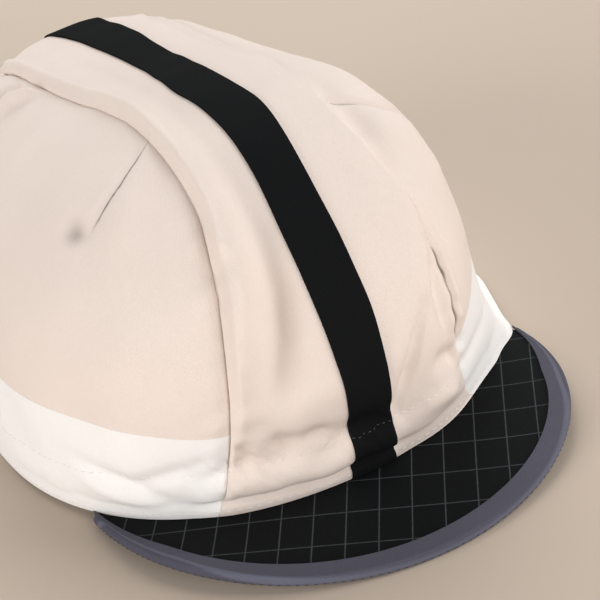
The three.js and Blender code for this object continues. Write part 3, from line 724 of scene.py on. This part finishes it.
def painted_dent_shadow_at(plain):
    """Painted shadow in the dent at the right dart's end, by its turn, share across, radius and
    strength.
    """
    turn, across, radius, strength = DENT
    spot = plain_point(turn, across * RIM_HALF_WIDTH)
    return strength * bell(np.linalg.norm(plain - spot, axis=-1), radius)


def note_creases(piece, plain):
    """Keeps the creases and the dent's painted shadow as attributes of the piece's points, for its
    material.
    """
    order = np.zeros(len(piece.data.vertices), int)
    piece.data.attributes["number"].data.foreach_get("value", order)
    kept = piece.data.attributes.new("crease", "FLOAT_VECTOR", "POINT")
    kept.data.foreach_set("vector", crease_at(plain)[order].ravel())
    kept = piece.data.attributes.new("dent", "FLOAT", "POINT")
    kept.data.foreach_set("value", painted_dent_shadow_at(plain)[order])


def cloth_piece(name, columns, rows, plain_of, lift=0.0, thickness=None):
    """A wall of cloth over the plain points that plain_of gives for the grid's shares."""
    wall = wall_at if thickness is None else (lambda plain: thickness)
    kept = []

    def outer(u, v):
        kept.append(plain_of(u, v))
        return cloth(kept[0], -lift)

    piece = wall_between(
        name, columns, rows, outer, lambda u, v: cloth(kept[0], wall(kept[0]) - lift)
    )
    note_creases(piece, kept[0])
    return piece


def crowd_ends(share, crowd):
    """Moves evenly spaced shares towards both ends, for fine cells along the seams."""
    return share - crowd * np.sin(2 * math.pi * share) / (2 * math.pi)


def crowd_start(share, crowd):
    """Moves evenly spaced shares towards the start alone."""
    return (1 - np.cos(0.5 * math.pi * share)) * crowd + (1 - crowd) * share


# %% [markdown]
# The centre panel runs from the front hem over the top to the back hem, and narrows over the brow.
# Its grid has columns across and rows along, crowded towards the seams and towards both hems, where
# the relief is finest.

# %% Centre panel and tape
SEAM_CROWD = 0.75
HEM_CROWD = 0.6
CENTRE_GRID = (84, 300)
TAPE_GRID = (14, 300)


def centre_panel():
    def plain_of(u, v):
        turn = 180 * crowd_ends(v, HEM_CROWD)
        across = 2 * crowd_ends(u, SEAM_CROWD) - 1
        half = half_width_at(turn, np.sign(across)) - GAP / 2
        return plain_point(turn, half * across)

    return cloth_piece("crown_centre_cloth", *CENTRE_GRID, plain_of)


def centre_tape():
    def plain_of(u, v):
        turn = 180 * crowd_ends(v, HEM_CROWD)
        across = tape_drift_at(turn) + tape_width_at(turn) * (u - 0.5)
        return plain_point(turn, TAPE_WIDTH * across)

    return cloth_piece(
        "crown_tape", *TAPE_GRID, plain_of, lift=GAP + TAPE_THICK, thickness=TAPE_THICK
    )


centre_cloth = centre_panel()
tape = centre_tape()

# %% [markdown]
# A side band is a strip between the hem and the panel above it. A side panel has only one edge that
# is not the long seam, so its grid is a four-sided patch: the band's edge below, and the seam cut
# into a front, an upper and a back stretch. Blending the four edges gives every inner point, and
# the plain form carries it back onto the crown.

# %% Side bands and side panels
FRONT_SHOULDER = 60
BACK_SHOULDER = 120
FOOT_CROWD = 0.35  # how strongly a side panel's rows crowd towards the band
BAND_GRID = (190, 40)
PANEL_GRID = (190, 120)


def seam_edge(turn, side):
    return plain_point(turn, side * (half_width_at(turn, side) + GAP / 2))


def compass_of(plain):
    return np.arctan2(plain[..., 0], -plain[..., 1])


def round_the_side(side, share, height, front_height, back_height):
    """Points at heights, a share of the way from the front seam round to the back seam."""
    front = compass_of(seam_edge(seam_turn_at(front_height, True, side), side))
    back = compass_of(seam_edge(seam_turn_at(back_height, False, side), side))
    return plain_at_height(front + (back - front) * share, height)


def band_top(side, share):
    return BAND_HEIGHT * band_edge_at[side](share)


def side_band(side, name):
    def plain_of(u, v):
        u, rise = crowd_ends(u, SEAM_CROWD), v
        height = rise * (band_top(side, u) - BORDER_GAP / 2)
        front = rise * (band_top(side, 0.0) - BORDER_GAP / 2)
        back = rise * (band_top(side, 1.0) - BORDER_GAP / 2)
        return round_the_side(side, u, height, front, back)

    return cloth_piece(name, *BAND_GRID, plain_of)


def side_panel(side, name):
    foot = {end: band_top(side, float(end)) + BORDER_GAP / 2 for end in (0, 1)}
    first_turn = float(seam_turn_at(foot[0], True, side))
    last_turn = float(seam_turn_at(foot[1], False, side))

    def below(u):
        return round_the_side(side, u, band_top(side, u) + BORDER_GAP / 2, foot[0], foot[1])

    def plain_of(u, v):
        u = crowd_ends(u, SEAM_CROWD)[:, None]
        v = crowd_start(v, FOOT_CROWD)[:, None]
        above = seam_edge(FRONT_SHOULDER + (BACK_SHOULDER - FRONT_SHOULDER) * u[:, 0], side)
        before = seam_edge(first_turn + (FRONT_SHOULDER - first_turn) * v[:, 0], side)
        behind = seam_edge(last_turn + (BACK_SHOULDER - last_turn) * v[:, 0], side)
        edges = (1 - v) * below(u[:, 0]) + v * above + (1 - u) * before + u * behind
        ends = [below(np.array([end])) for end in (0.0, 1.0)]
        tops = [seam_edge(np.array([turn]), side) for turn in (FRONT_SHOULDER, BACK_SHOULDER)]
        corners = (1 - u) * (1 - v) * ends[0] + u * (1 - v) * ends[1]
        corners = corners + (1 - u) * v * tops[0] + u * v * tops[1]
        return plain_toward(edges - corners)

    return cloth_piece(name, *PANEL_GRID, plain_of)


right_band = side_band(RIGHT, "band_right_cloth")
left_band = side_band(LEFT, "band_left_cloth")
right_panel = side_panel(RIGHT, "side_right_cloth")
left_panel = side_panel(LEFT, "side_left_cloth")

# %% [markdown]
# The peak is a stiff board in cloth, tucked under the front of the hem. Seen from above its outline
# is a low arc that runs from the front of the rim to its reach and back. It is cut from one flat
# cloth, so its UV map is simply its plan, and a check drawn on it stays straight.

# %% Peak
PEAK_REACH = 42.5
PEAK_SPREAD = 0.87
PEAK_FULLNESS = 0.86
PEAK_WAVE = {RIGHT: 3.1, LEFT: 2.6}
PEAK_THICK = 1.2
PEAK_TUCK = 2.2
PEAK_SHARE = 0.985
BINDING_WIDTH = 6.8
BINDING_WALL = 0.6
BINDING_LIP = 1.2
BINDING_FLAT_SHARE = 0.42  # share of the tape on each face of the peak
LEAST_SLANT = 0.5  # limits the binding's width at the peak's corners
PEAK_GRID = (150, 44)
BINDING_GRID = (260, 40)
half_peak = PEAK_THICK / 2
binding_half = half_peak + PEAK_GAP + BINDING_WALL


def hem_foot(across, depth):
    return cloth(plain_point(0.0, across), depth) - HEAD_MIDDLE


def peak_outline(share):
    """The outline of the bound peak, from the wearer's right (-1) to the left (1)."""
    corner = hem_foot(PEAK_SPREAD * RIM_HALF_WIDTH, 0.0)
    across = np.sin(share * math.pi / 2)
    forward = np.cos(share * math.pi / 2)
    root = corner[1] - SKEW * corner[0]
    side_height = corner[2] - PEAK_GAP - half_peak
    front = -RIM_FRONT - PEAK_REACH
    wave = np.where(share < 0, PEAK_WAVE[RIGHT], PEAK_WAVE[LEFT]) * 4 * forward * (1 - forward)
    return np.stack([
        across * (corner[0] + BINDING_LIP),
        root + (front - root) * forward**PEAK_FULLNESS + SKEW * across * corner[0],
        side_height + (binding_half - side_height) * forward + wave,
    ], -1)


def peak_outward(share):
    step = 0.01
    along = peak_outline(np.minimum(share + step, 1)) - peak_outline(np.maximum(share - step, -1))
    return unit(np.stack([along[..., 1], -along[..., 0], np.zeros(share.shape)], -1))


def peak_edge(share):
    return peak_outline(share) - peak_outward(share) * BINDING_LIP


def peak_root(share, tuck):
    root = hem_foot(PEAK_SPREAD * RIM_HALF_WIDTH * np.sin(share * math.pi / 2), tuck)
    root[..., 2] -= PEAK_GAP + half_peak
    return root


def peak_sheet(lift):
    """The peak's points for a grid's shares: across, and out from the hem to the edge."""

    def points(u, v):
        share = PEAK_SHARE * (2 * u - 1)
        root = peak_root(share, PEAK_TUCK)
        flat = root + (peak_edge(share) - root) * v[:, None]
        return flat + [0, 0, lift] + HEAD_MIDDLE

    return points


peak = wall_between(
    "peak_cloth", *PEAK_GRID, peak_sheet(half_peak), peak_sheet(-half_peak),
    measure=lambda points: points[:, :2] * MM,
)

# %% [markdown]
# The binding is one tape folded over the peak's edge. Swept along the edge, its cross-section is a
# hairpin: along the top, round the lip and back along the bottom. The same grid helper makes it,
# with the tape's outer face outside and its inner face inside the fold.

# %% Binding


def binding_sheet(depth):
    """The folded tape at a depth below its outer face."""
    half = binding_half - depth

    def points(u, v):
        share = PEAK_SHARE * (2 * u - 1)
        edge = peak_edge(share)
        outward = peak_outward(share)
        inward = peak_root(share, 0.0) - edge
        room = np.linalg.norm(inward, axis=-1) - 2 * PEAK_GAP
        inward = unit(inward)
        slant = np.maximum(-(inward * outward).sum(-1), LEAST_SLANT)
        width = np.minimum((BINDING_WIDTH - BINDING_LIP) / slant, room)
        side = np.where(v < 0.5, 1.0, -1.0)
        along = np.minimum(v, 1 - v) / BINDING_FLAT_SHARE
        back = width * np.clip(1 - along, 0, 1)
        bend = np.clip((v - BINDING_FLAT_SHARE) / (1 - 2 * BINDING_FLAT_SHARE), 0, 1) * math.pi
        out = (PEAK_GAP + BINDING_WALL - depth) * np.sin(bend)
        height = np.where(along < 1, side * half, half * np.cos(bend))
        point = edge + inward * back[:, None] + outward * out[:, None] + HEAD_MIDDLE
        point[:, 2] += height
        return point

    return points


binding = wall_between(
    "peak_edge_binding", *BINDING_GRID, binding_sheet(0.0), binding_sheet(BINDING_WALL)
)

# %% [markdown]
# Thread is what makes a sewn thing look sewn. A stitch is a short bead pressed into the cloth, and a
# row of them follows a line worked out on the form. A bead needs only a few faces, because there are
# hundreds of them.

# %% Stitches
STITCH_PITCH = 2.9
STITCH_LENGTH = 1.9
STITCH_RADIUS = 0.13
FINE_PITCH = 1.7
FINE_LENGTH = 0.9
LINE_SAMPLES = 1200
TAPE_STITCH_REACH = 0.47  # share of the tape's width, to each side of its middle
BINDING_PITCH = 2.4
BINDING_STITCH = 1.3
LIP_OUT_SHARE = 0.75  # where the stitches lie on the binding's lip, outwards
LIP_DOWN_SHARE = 0.66  # and downwards
LIP_SLANT = 0.8  # how far those stitches face down


def stitch_row(name, places, ways, outs, length):
    """Beads of thread at places, laid along ways and facing outs."""
    mesh = bmesh.new()
    for place, way, out in zip(places, ways, outs):
        out = out - way * (out @ way)
        out = out / np.linalg.norm(out)
        side = np.cross(out, way)
        turn = Matrix([way, side, out]).transposed().to_4x4()
        size = Matrix.Diagonal([length / 2 * MM, STITCH_RADIUS * MM, STITCH_RADIUS * MM, 1])
        spot = Matrix.Translation(place * MM) @ turn @ size
        bmesh.ops.create_uvsphere(mesh, u_segments=6, v_segments=4, radius=1, matrix=spot)
    for face in mesh.faces:
        face.smooth = True
    print(name, "has", len(places), "stitches")
    return object_of(name, mesh)


def evenly_along(line_at, first, last, pitch):
    """Parameters between first and last that space a line's points evenly."""
    fine = np.linspace(first, last, LINE_SAMPLES)
    steps = np.linalg.norm(np.diff(line_at(fine), axis=0), axis=-1)
    length = np.concatenate([[0], np.cumsum(steps)])
    count = max(int(length[-1] / pitch), 2)
    return np.interp((np.arange(count) + 0.5) * length[-1] / count, length, fine)


def row_on_cloth(name, plain_at, first, last, lift=0.0, pitch=STITCH_PITCH, length=STITCH_LENGTH):
    """A row of stitches along plain points, a little above the cloth."""

    def line_at(share):
        return cloth(plain_at(share), -lift)

    spots = evenly_along(line_at, first, last, pitch)
    step = 0.002
    ways = unit(line_at(spots + step) - line_at(spots - step))
    return stitch_row(name, line_at(spots), ways, outward_at(plain_at(spots)), length)


def round_rim(height):
    return lambda compass: plain_at_height(compass, height)


hem_turn = math.degrees(math.atan(HEM_STITCH_HEIGHT / RIM_FRONT))
tape_reach = tape_width_at(hem_turn) * TAPE_STITCH_REACH
tape_sides = tape_drift_at(hem_turn) + tape_reach * np.array([-1, 1])
tape_start, tape_stop = (math.atan(TAPE_WIDTH * side / RIM_FRONT) for side in tape_sides)
before = tape_stop
behind = 2 * math.pi + tape_start
hem_stitches = row_on_cloth("hem_stitches", round_rim(HEM_STITCH_HEIGHT), before, behind)
edge_stitches = row_on_cloth("edge_stitches", round_rim(EDGE_STITCH_HEIGHT), before, behind)
tape_stitches = row_on_cloth(
    "tape_stitches", round_rim(HEM_STITCH_HEIGHT), tape_start, tape_stop,
    GAP + TAPE_THICK, FINE_PITCH, FINE_LENGTH,
)
binding_spots = evenly_along(peak_edge, -PEAK_SHARE, PEAK_SHARE, BINDING_PITCH)
lip = peak_outward(binding_spots)
lip_out = LIP_OUT_SHARE * (PEAK_GAP + BINDING_WALL)
lip_down = LIP_DOWN_SHARE * binding_half
lip_places = peak_edge(binding_spots) + lip * lip_out + HEAD_MIDDLE - [0, 0, lip_down]
lip_ways = unit(np.gradient(lip_places, axis=0))
binding_stitches = stitch_row(
    "binding_stitches", lip_places, lip_ways, unit(lip - [0, 0, LIP_SLANT]), BINDING_STITCH
)

# %% [markdown]
# A finish in Blender is a small tree of nodes. Three effects are shared by every cloth here, so each
# is a node group that is built once: the weave's threads, the faint unevenness of dyed cloth, and
# thin lines at an angle for a check. Groups put out masks, colours and heights, and the shader
# itself stays in each material.

# %% Helpers for nodes


def node(tree, kind, **values):
    """A node of that kind, with its properties set."""
    made = tree.nodes.new(kind)
    for key, value in values.items():
        setattr(made, key, value)
    return made


def wire(tree, source, target):
    tree.links.new(source, target)


def math_node(tree, operation, *inputs, clamp=False):
    """A Math node. An input is a number or another node's output."""
    made = node(tree, "ShaderNodeMath", operation=operation, use_clamp=clamp)
    for socket, value in zip(made.inputs, inputs):
        if isinstance(value, (int, float)):
            socket.default_value = value
        else:
            wire(tree, value, socket)
    return made.outputs[0]


def mix_colours(tree, share, first, second):
    made = node(tree, "ShaderNodeMix", data_type="RGBA")
    for socket, value in zip((made.inputs[0], made.inputs[6], made.inputs[7]), (share, first, second)):
        if isinstance(value, (int, float, tuple)):
            socket.default_value = value
        else:
            wire(tree, value, socket)
    return made.outputs[2]


def node_group(name, inputs, outputs):
    """An empty group with named sockets, given as (name, type, starting value)."""
    group = bpy.data.node_groups.new(name, "ShaderNodeTree")
    for label, kind, value in inputs:
        socket = group.interface.new_socket(label, in_out="INPUT", socket_type=f"NodeSocket{kind}")
        if value is not None:
            socket.default_value = value
    for label, kind in outputs:
        group.interface.new_socket(label, in_out="OUTPUT", socket_type=f"NodeSocket{kind}")
    entry = node(group, "NodeGroupInput")
    leave = node(group, "NodeGroupOutput")
    return group, entry.outputs, leave.inputs


def noise(tree, vector, scale, detail=2):
    made = node(tree, "ShaderNodeTexNoise")
    made.inputs["Scale"].default_value = scale
    made.inputs["Detail"].default_value = detail
    wire(tree, vector, made.inputs["Vector"])
    return made.outputs[0]


def new_material(name):
    """A material, its tree and its shader."""
    material = bpy.data.materials.new(name)
    material.use_nodes = True
    tree = material.node_tree
    return material, tree, tree.nodes["Principled BSDF"]


def paint_over(tree, share, paint):
    """Mixes a paint over what already colours the shader."""
    base = tree.nodes["Principled BSDF"].inputs["Base Color"]
    wire(tree, mix_colours(tree, share, base.links[0].from_socket, paint), base)


def darker(face, share):
    return (*(share * part for part in face[:3]), 1.0)


def colour(red, green, blue):
    """A colour given in the 0 to 255 of a paint chart, as the shader's linear values."""
    linear = []
    for value in (red, green, blue):
        share = value / 255
        linear.append(share / 12.92 if share <= 0.04045 else ((share + 0.055) / 1.055) ** 2.4)
    return (*linear, 1.0)


# %% [markdown]
# Woven cloth is two sets of threads passing over and under each other. Two sine waves, one along
# the cloth and one across it, multiplied together give that over and under, and a little noise in
# their phase makes the threads wander. The thread spacing is given in metres.

# %% Weave group
SLUB_SCALE = 900


def weave_group():
    group, given, out = node_group(
        "woven threads",
        [("Vector", "Vector", None), ("Spacing", "Float", 0.0005), ("Wander", "Float", 0.25)],
        [("Height", "Float"), ("Slub", "Float")],
    )
    slubs = noise(group, given["Vector"], SLUB_SCALE)
    place = node(group, "ShaderNodeSeparateXYZ")
    wire(group, given["Vector"], place.inputs[0])
    waves = []
    for axis in (0, 1):
        turns = math_node(group, "DIVIDE", place.outputs[axis], given["Spacing"])
        wander = math_node(group, "MULTIPLY", slubs, given["Wander"])
        angle = math_node(group, "MULTIPLY", math_node(group, "ADD", turns, wander), math.pi)
        waves.append(math_node(group, "SINE", angle))
    over = math_node(group, "MULTIPLY", waves[0], waves[1])
    wire(group, math_node(group, "MULTIPLY_ADD", over, 0.5, 0.5), out["Height"])
    wire(group, slubs, out["Slub"])
    return group


weave = weave_group()
print("groups:", [group.name for group in bpy.data.node_groups])

# %% [markdown]
# Dyed cotton is never one flat colour. Broad noise shifts it a little over centimetres, and fine
# noise over single threads. The group mixes two colours by both.

# %% Dye group
DYE_SCALES = {"Broad": 38, "Fine": 1500}


def dye_group():
    group, given, out = node_group(
        "uneven dye",
        [
            ("Vector", "Vector", None), ("Colour", "Color", (1, 1, 1, 1)),
            ("Deep Colour", "Color", (0, 0, 0, 1)), ("Broad", "Float", 0.3), ("Fine", "Float", 0.3),
        ],
        [("Colour", "Color")],
    )
    shares = []
    for strength, scale in DYE_SCALES.items():
        spots = noise(group, given["Vector"], scale, detail=3)
        shares.append(math_node(group, "MULTIPLY", spots, given[strength]))
    share = math_node(group, "ADD", *shares, clamp=True)
    wire(group, mix_colours(group, share, given["Colour"], given["Deep Colour"]), out["Colour"])
    return group


dye = dye_group()

# %% [markdown]
# A check on cloth is two sets of thin straight lines. One group draws one set, at an angle and a
# spacing, and lets the thread fade a little along its length.

# %% Line group
FADE_SCALE = 700
FADE_RANGE = 0.9
FADE_LEAST = 0.45


def line_group():
    group, given, out = node_group(
        "thin lines",
        [
            ("Vector", "Vector", None), ("Angle", "Float", 0.0), ("Spacing", "Float", 0.01),
            ("Width", "Float", 0.0006), ("Shift", "Float", 0.0),
        ],
        [("Mask", "Float")],
    )
    turned = node(group, "ShaderNodeVectorRotate", rotation_type="Z_AXIS")
    wire(group, given["Vector"], turned.inputs["Vector"])
    wire(group, given["Angle"], turned.inputs["Angle"])
    place = node(group, "ShaderNodeSeparateXYZ")
    wire(group, turned.outputs[0], place.inputs[0])
    shifted = math_node(group, "ADD", place.outputs[0], given["Shift"])
    away = math_node(group, "PINGPONG", shifted, math_node(group, "DIVIDE", given["Spacing"], 2.0))
    edge = math_node(group, "DIVIDE", away, given["Width"])
    line = math_node(group, "SUBTRACT", 1.0, edge, clamp=True)
    fade = noise(group, given["Vector"], FADE_SCALE)
    worn = math_node(group, "MULTIPLY_ADD", fade, FADE_RANGE, FADE_LEAST)
    wire(group, math_node(group, "MULTIPLY", line, worn, clamp=True), out["Mask"])
    return group


lines = line_group()

# %% [markdown]
# A sharp crease is thinner than the mesh can follow. Its points carry the distance from the crease
# and its strength as an attribute, and this group turns them into a thin mask. The material paints
# that mask as a line of shade and sinks it as a groove in the bump.

# %% Crease group
CREASE_DEPTH = 6.0
# how dark the painted shade along the creases and in the dent is, as a share of the deep colour
PAINTED_CREASE_SHADE = 0.3
LEAST_WIDTH = 0.0001


def crease_group():
    group, given, out = node_group("sharp crease", [("Vector", "Vector", None)], [("Mask", "Float")])
    parts = node(group, "ShaderNodeSeparateXYZ")
    wire(group, given["Vector"], parts.inputs[0])
    away = math_node(group, "ABSOLUTE", parts.outputs[0])
    edge = math_node(group, "DIVIDE", away, math_node(group, "MAXIMUM", parts.outputs[2], LEAST_WIDTH))
    near = math_node(group, "SUBTRACT", 1.0, edge, clamp=True)
    wire(group, math_node(group, "MULTIPLY", near, parts.outputs[1], clamp=True), out["Mask"])
    return group


sharp_crease = crease_group()

# %% [markdown]
# Each cloth's material places the groups with its own values: the threads' spacing, how strongly
# they stand up, and two colours. Sheen stands for the fuzz of fibre ends that lightens cotton where
# it turns away, and it is set on the shader's own socket.

# %% Cloth materials
BROAD_DYE = 0.35  # strength of the dye's broad unevenness
# The next share is painted shade in the hollows between the threads.
WEAVE_PAINTED_SHADE = 0.3  # how dark the cloth is between its threads
ROUGH_RANGE = 0.12  # how much the roughness varies from thread to thread
SLUB_RISE = 0.5  # height of the uneven yarn beside the weave's own
SHEEN_ROUGHNESS = 0.5


def use_group(tree, group, vector, **values):
    """A node that uses a group, with its named inputs set or wired."""
    made = node(tree, "ShaderNodeGroup", node_tree=group)
    if vector is not None:
        wire(tree, vector, made.inputs["Vector"])
    for key, value in values.items():
        socket = made.inputs[key.replace("_", " ")]
        if isinstance(value, (int, float, tuple)):
            socket.default_value = value
        else:
            wire(tree, value, socket)
    return made


def cloth_material(name, face, deep, spacing, relief, rough, sheen, gloss=0.2, fine=0.35):
    """A woven cloth. Its spacing and the relief's depth are in metres."""
    material, tree, shader = new_material(name)
    measure = node(tree, "ShaderNodeUVMap", uv_map="cloth").outputs[0]
    place = node(tree, "ShaderNodeTexCoord").outputs["Object"]
    threads = use_group(tree, weave, measure, Spacing=spacing)
    dyed = use_group(tree, dye, place, Colour=face, Deep_Colour=deep, Broad=BROAD_DYE, Fine=fine)
    # The hollows between the threads are darkened towards the deep colour as painted shade.
    hollow = math_node(tree, "SUBTRACT", 1.0, threads.outputs["Height"])
    shaded = math_node(tree, "MULTIPLY", hollow, WEAVE_PAINTED_SHADE)
    wire(tree, mix_colours(tree, shaded, dyed.outputs["Colour"], deep), shader.inputs["Base Color"])
    slub = threads.outputs["Slub"]
    matt = math_node(tree, "MULTIPLY_ADD", slub, ROUGH_RANGE, rough - ROUGH_RANGE / 2)
    wire(tree, matt, shader.inputs["Roughness"])
    # The creases and the dent are painted as shade in the base colour; the creases also sink in the
    # bump.
    crease = node(tree, "ShaderNodeAttribute", attribute_name="crease").outputs["Vector"]
    folded = use_group(tree, sharp_crease, crease).outputs["Mask"]
    dent = node(tree, "ShaderNodeAttribute", attribute_name="dent").outputs["Fac"]
    painted_fold_shade = math_node(tree, "ADD", folded, dent, clamp=True)
    paint_over(tree, painted_fold_shade, darker(deep, PAINTED_CREASE_SHADE))
    raised = math_node(tree, "MULTIPLY_ADD", slub, SLUB_RISE, threads.outputs["Height"])
    raised = math_node(tree, "MULTIPLY_ADD", folded, -CREASE_DEPTH, raised)
    bump = node(tree, "ShaderNodeBump")
    bump.inputs["Distance"].default_value = relief
    bump.inputs["Strength"].default_value = 1.0
    wire(tree, raised, bump.inputs["Height"])
    wire(tree, bump.outputs[0], shader.inputs["Normal"])
    shader.inputs["Sheen Weight"].default_value = sheen
    shader.inputs["Sheen Roughness"].default_value = SHEEN_ROUGHNESS
    shader.inputs["Specular IOR Level"].default_value = gloss
    return material


beige = cloth_material(
    "beige_cotton", colour(237, 223, 214), colour(215, 199, 188),
    spacing=0.00034, relief=0.00004, rough=0.9, sheen=0.05, fine=0.5,
)
white = cloth_material(
    "white_cotton", colour(246, 242, 239), colour(229, 225, 221),
    spacing=0.00034, relief=0.00004, rough=0.9, sheen=0.05, fine=0.5,
)
black_tape = cloth_material(
    "black_tape", colour(26, 27, 28), colour(13, 13, 14),
    spacing=0.0004, relief=0.00004, rough=0.9, sheen=0.0, gloss=0.03,
)
slate = cloth_material(
    "slate_binding", colour(88, 87, 99), colour(62, 61, 72),
    spacing=0.0005, relief=0.00005, rough=0.8, sheen=0.05, gloss=0.1,
)
black_check = cloth_material(
    "black_check", colour(21, 23, 24), colour(10, 11, 12),
    spacing=0.0004, relief=0.00003, rough=0.85, sheen=0.0, gloss=0.08,
)

# %% [markdown]
# The peak's check is laid over that black cloth. Two uses of the line group cross at a right angle,
# and their masks together mix the dye towards a dim grey.

# %% Check on the peak
CHECK_ANGLE = math.radians(30)
CHECK_SPACINGS = (0.009, 0.0137)
CHECK_WIDTH = 0.00028
CHECK_COLOUR = colour(74, 79, 81)


def add_check(material):
    tree = material.node_tree
    measure = node(tree, "ShaderNodeUVMap", uv_map="cloth").outputs[0]
    masks = []
    for turn, spacing in zip((0, math.pi / 2), CHECK_SPACINGS):
        drawn = use_group(
            tree, lines, measure, Angle=CHECK_ANGLE + turn, Spacing=spacing, Width=CHECK_WIDTH
        )
        masks.append(drawn.outputs["Mask"])
    paint_over(tree, math_node(tree, "MAXIMUM", *masks), CHECK_COLOUR)


add_check(black_check)

# %% [markdown]
# The binding's folded edge is painted paler than its flat sides, as a highlight. The tape's own
# measure says how far a point lies from its first edge, so a soft band at the fold can be lightened.

# %% Painted highlight on the binding's edge
HIGHLIGHT_FROM = 0.0079
HIGHLIGHT_TO = 0.0092
HIGHLIGHT_SOFT = 0.0014
HIGHLIGHT_SHARE = 0.22
HIGHLIGHT_COLOUR = colour(142, 146, 166)


def add_painted_edge_highlight(material):
    tree = material.node_tree
    measure = node(tree, "ShaderNodeSeparateXYZ")
    wire(tree, node(tree, "ShaderNodeUVMap", uv_map="cloth").outputs[0], measure.inputs[0])
    ramps = []
    for start, stop in (
        (HIGHLIGHT_FROM - HIGHLIGHT_SOFT, HIGHLIGHT_FROM), (HIGHLIGHT_TO + HIGHLIGHT_SOFT, HIGHLIGHT_TO)
    ):
        ramp = node(tree, "ShaderNodeMapRange", interpolation_type="SMOOTHSTEP")
        wire(tree, measure.outputs[1], ramp.inputs["Value"])
        ramp.inputs["From Min"].default_value = start
        ramp.inputs["From Max"].default_value = stop
        ramps.append(ramp.outputs["Result"])
    # The soft band at the fold is lightened as a painted highlight.
    band = math_node(tree, "MULTIPLY", *ramps)
    paint_over(tree, math_node(tree, "MULTIPLY", band, HIGHLIGHT_SHARE), HIGHLIGHT_COLOUR)


add_painted_edge_highlight(slate)

# %% [markdown]
# Thread is smoother than cloth, with the light and dark of its twisted plies.

# %% Thread materials
PLY_SCALE = 2500
PLY_SHADE = 0.7
THREAD_ROUGHNESS = 0.6


def thread_material(name, face):
    material, tree, shader = new_material(name)
    ply = noise(tree, node(tree, "ShaderNodeTexCoord").outputs["Object"], PLY_SCALE)
    shade = darker(face, PLY_SHADE)
    wire(tree, mix_colours(tree, ply, face, shade), shader.inputs["Base Color"])
    shader.inputs["Roughness"].default_value = THREAD_ROUGHNESS
    return material


pale_thread = thread_material("pale_thread", colour(246, 238, 231))
grey_thread = thread_material("grey_thread", colour(84, 83, 82))
dark_thread = thread_material("dark_thread", colour(38, 36, 46))

# %% [markdown]
# Every piece takes its material and rides on the cap's one body, and a piece that stands for an
# imported solid hides it.

# %% Dressing
DRESS = [
    (centre_cloth, beige, "panel_cotton", "centre_panel"),
    (right_panel, beige, "panel_cotton", "side_panel_right"),
    (left_panel, beige, "panel_cotton", "side_panel_left"),
    (right_band, white, "band_cotton", "side_band_right"),
    (left_band, white, "band_cotton", "side_band_left"),
    (tape, black_tape, "tape_twill", "centre_tape"),
    (peak, black_check, "peak_cloth", "peak"),
    (binding, slate, "binding_tape", "peak_binding"),
    (hem_stitches, pale_thread, "panel_cotton", None),
    (edge_stitches, pale_thread, "panel_cotton", None),
    (tape_stitches, grey_thread, "tape_twill", None),
    (binding_stitches, dark_thread, "binding_tape", None),
]
for piece, material, slot, solid in DRESS:
    piece.data.materials.append(material)
    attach(piece, "root")
    if solid:
        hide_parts(solid)
print("dressed", len(DRESS), "pieces")

# %% [markdown]
# The floor is a plain pale sweep. Four soft lamps stand round the cap, low on the left and in front
# and higher on the right and behind, with a faint sky between them. Low light picks out each fold,
# and light from every side keeps the shadows weak, as in a shop photograph.

# %% Floor and light
FLOOR_SIZE = 6
FLOOR_ROUGHNESS = 0.9
LAMP_SIZE = 0.9
LAMP_AIM = Vector((0, 0, 0.05))
LAMPS = [
    # name, place in metres, power in watts
    ("left lamp", (-1.3, -0.15, 0.4), 14.5),
    ("front lamp", (0.15, -1.3, 0.24), 12.5),
    ("right lamp", (0.9, -0.45, 0.8), 8.5),
    ("back lamp", (0.35, 0.95, 0.9), 13.5),
]
SKY_STRENGTH = 0.12


def add_floor():
    mesh = bmesh.new()
    bmesh.ops.create_grid(mesh, x_segments=1, y_segments=1, size=FLOOR_SIZE)
    floor = object_of("floor", mesh)
    material, _, shader = new_material("floor_paint")
    shader.inputs["Base Color"].default_value = colour(190, 174, 158)
    shader.inputs["Roughness"].default_value = FLOOR_ROUGHNESS
    floor.data.materials.append(material)


def add_lamp(name, place, power):
    """A square soft lamp, turned to the cap."""
    data = bpy.data.lights.new(name, "AREA")
    data.shape = "SQUARE"
    data.size = LAMP_SIZE
    data.energy = power
    lamp = bpy.data.objects.new(name, data)
    lamp.location = place
    lamp.rotation_euler = (Vector(place) - LAMP_AIM).to_track_quat("Z", "Y").to_euler()
    bpy.context.scene.collection.objects.link(lamp)


def add_sky():
    sky = bpy.data.worlds.new("sky")
    sky.use_nodes = True
    background = sky.node_tree.nodes["Background"]
    background.inputs["Color"].default_value = (1.0, 1.0, 1.0, 1.0)
    background.inputs["Strength"].default_value = SKY_STRENGTH
    bpy.context.scene.world = sky


add_floor()
for lamp_row in LAMPS:
    add_lamp(*lamp_row)
add_sky()
bpy.context.scene.view_settings.view_transform = "Standard"
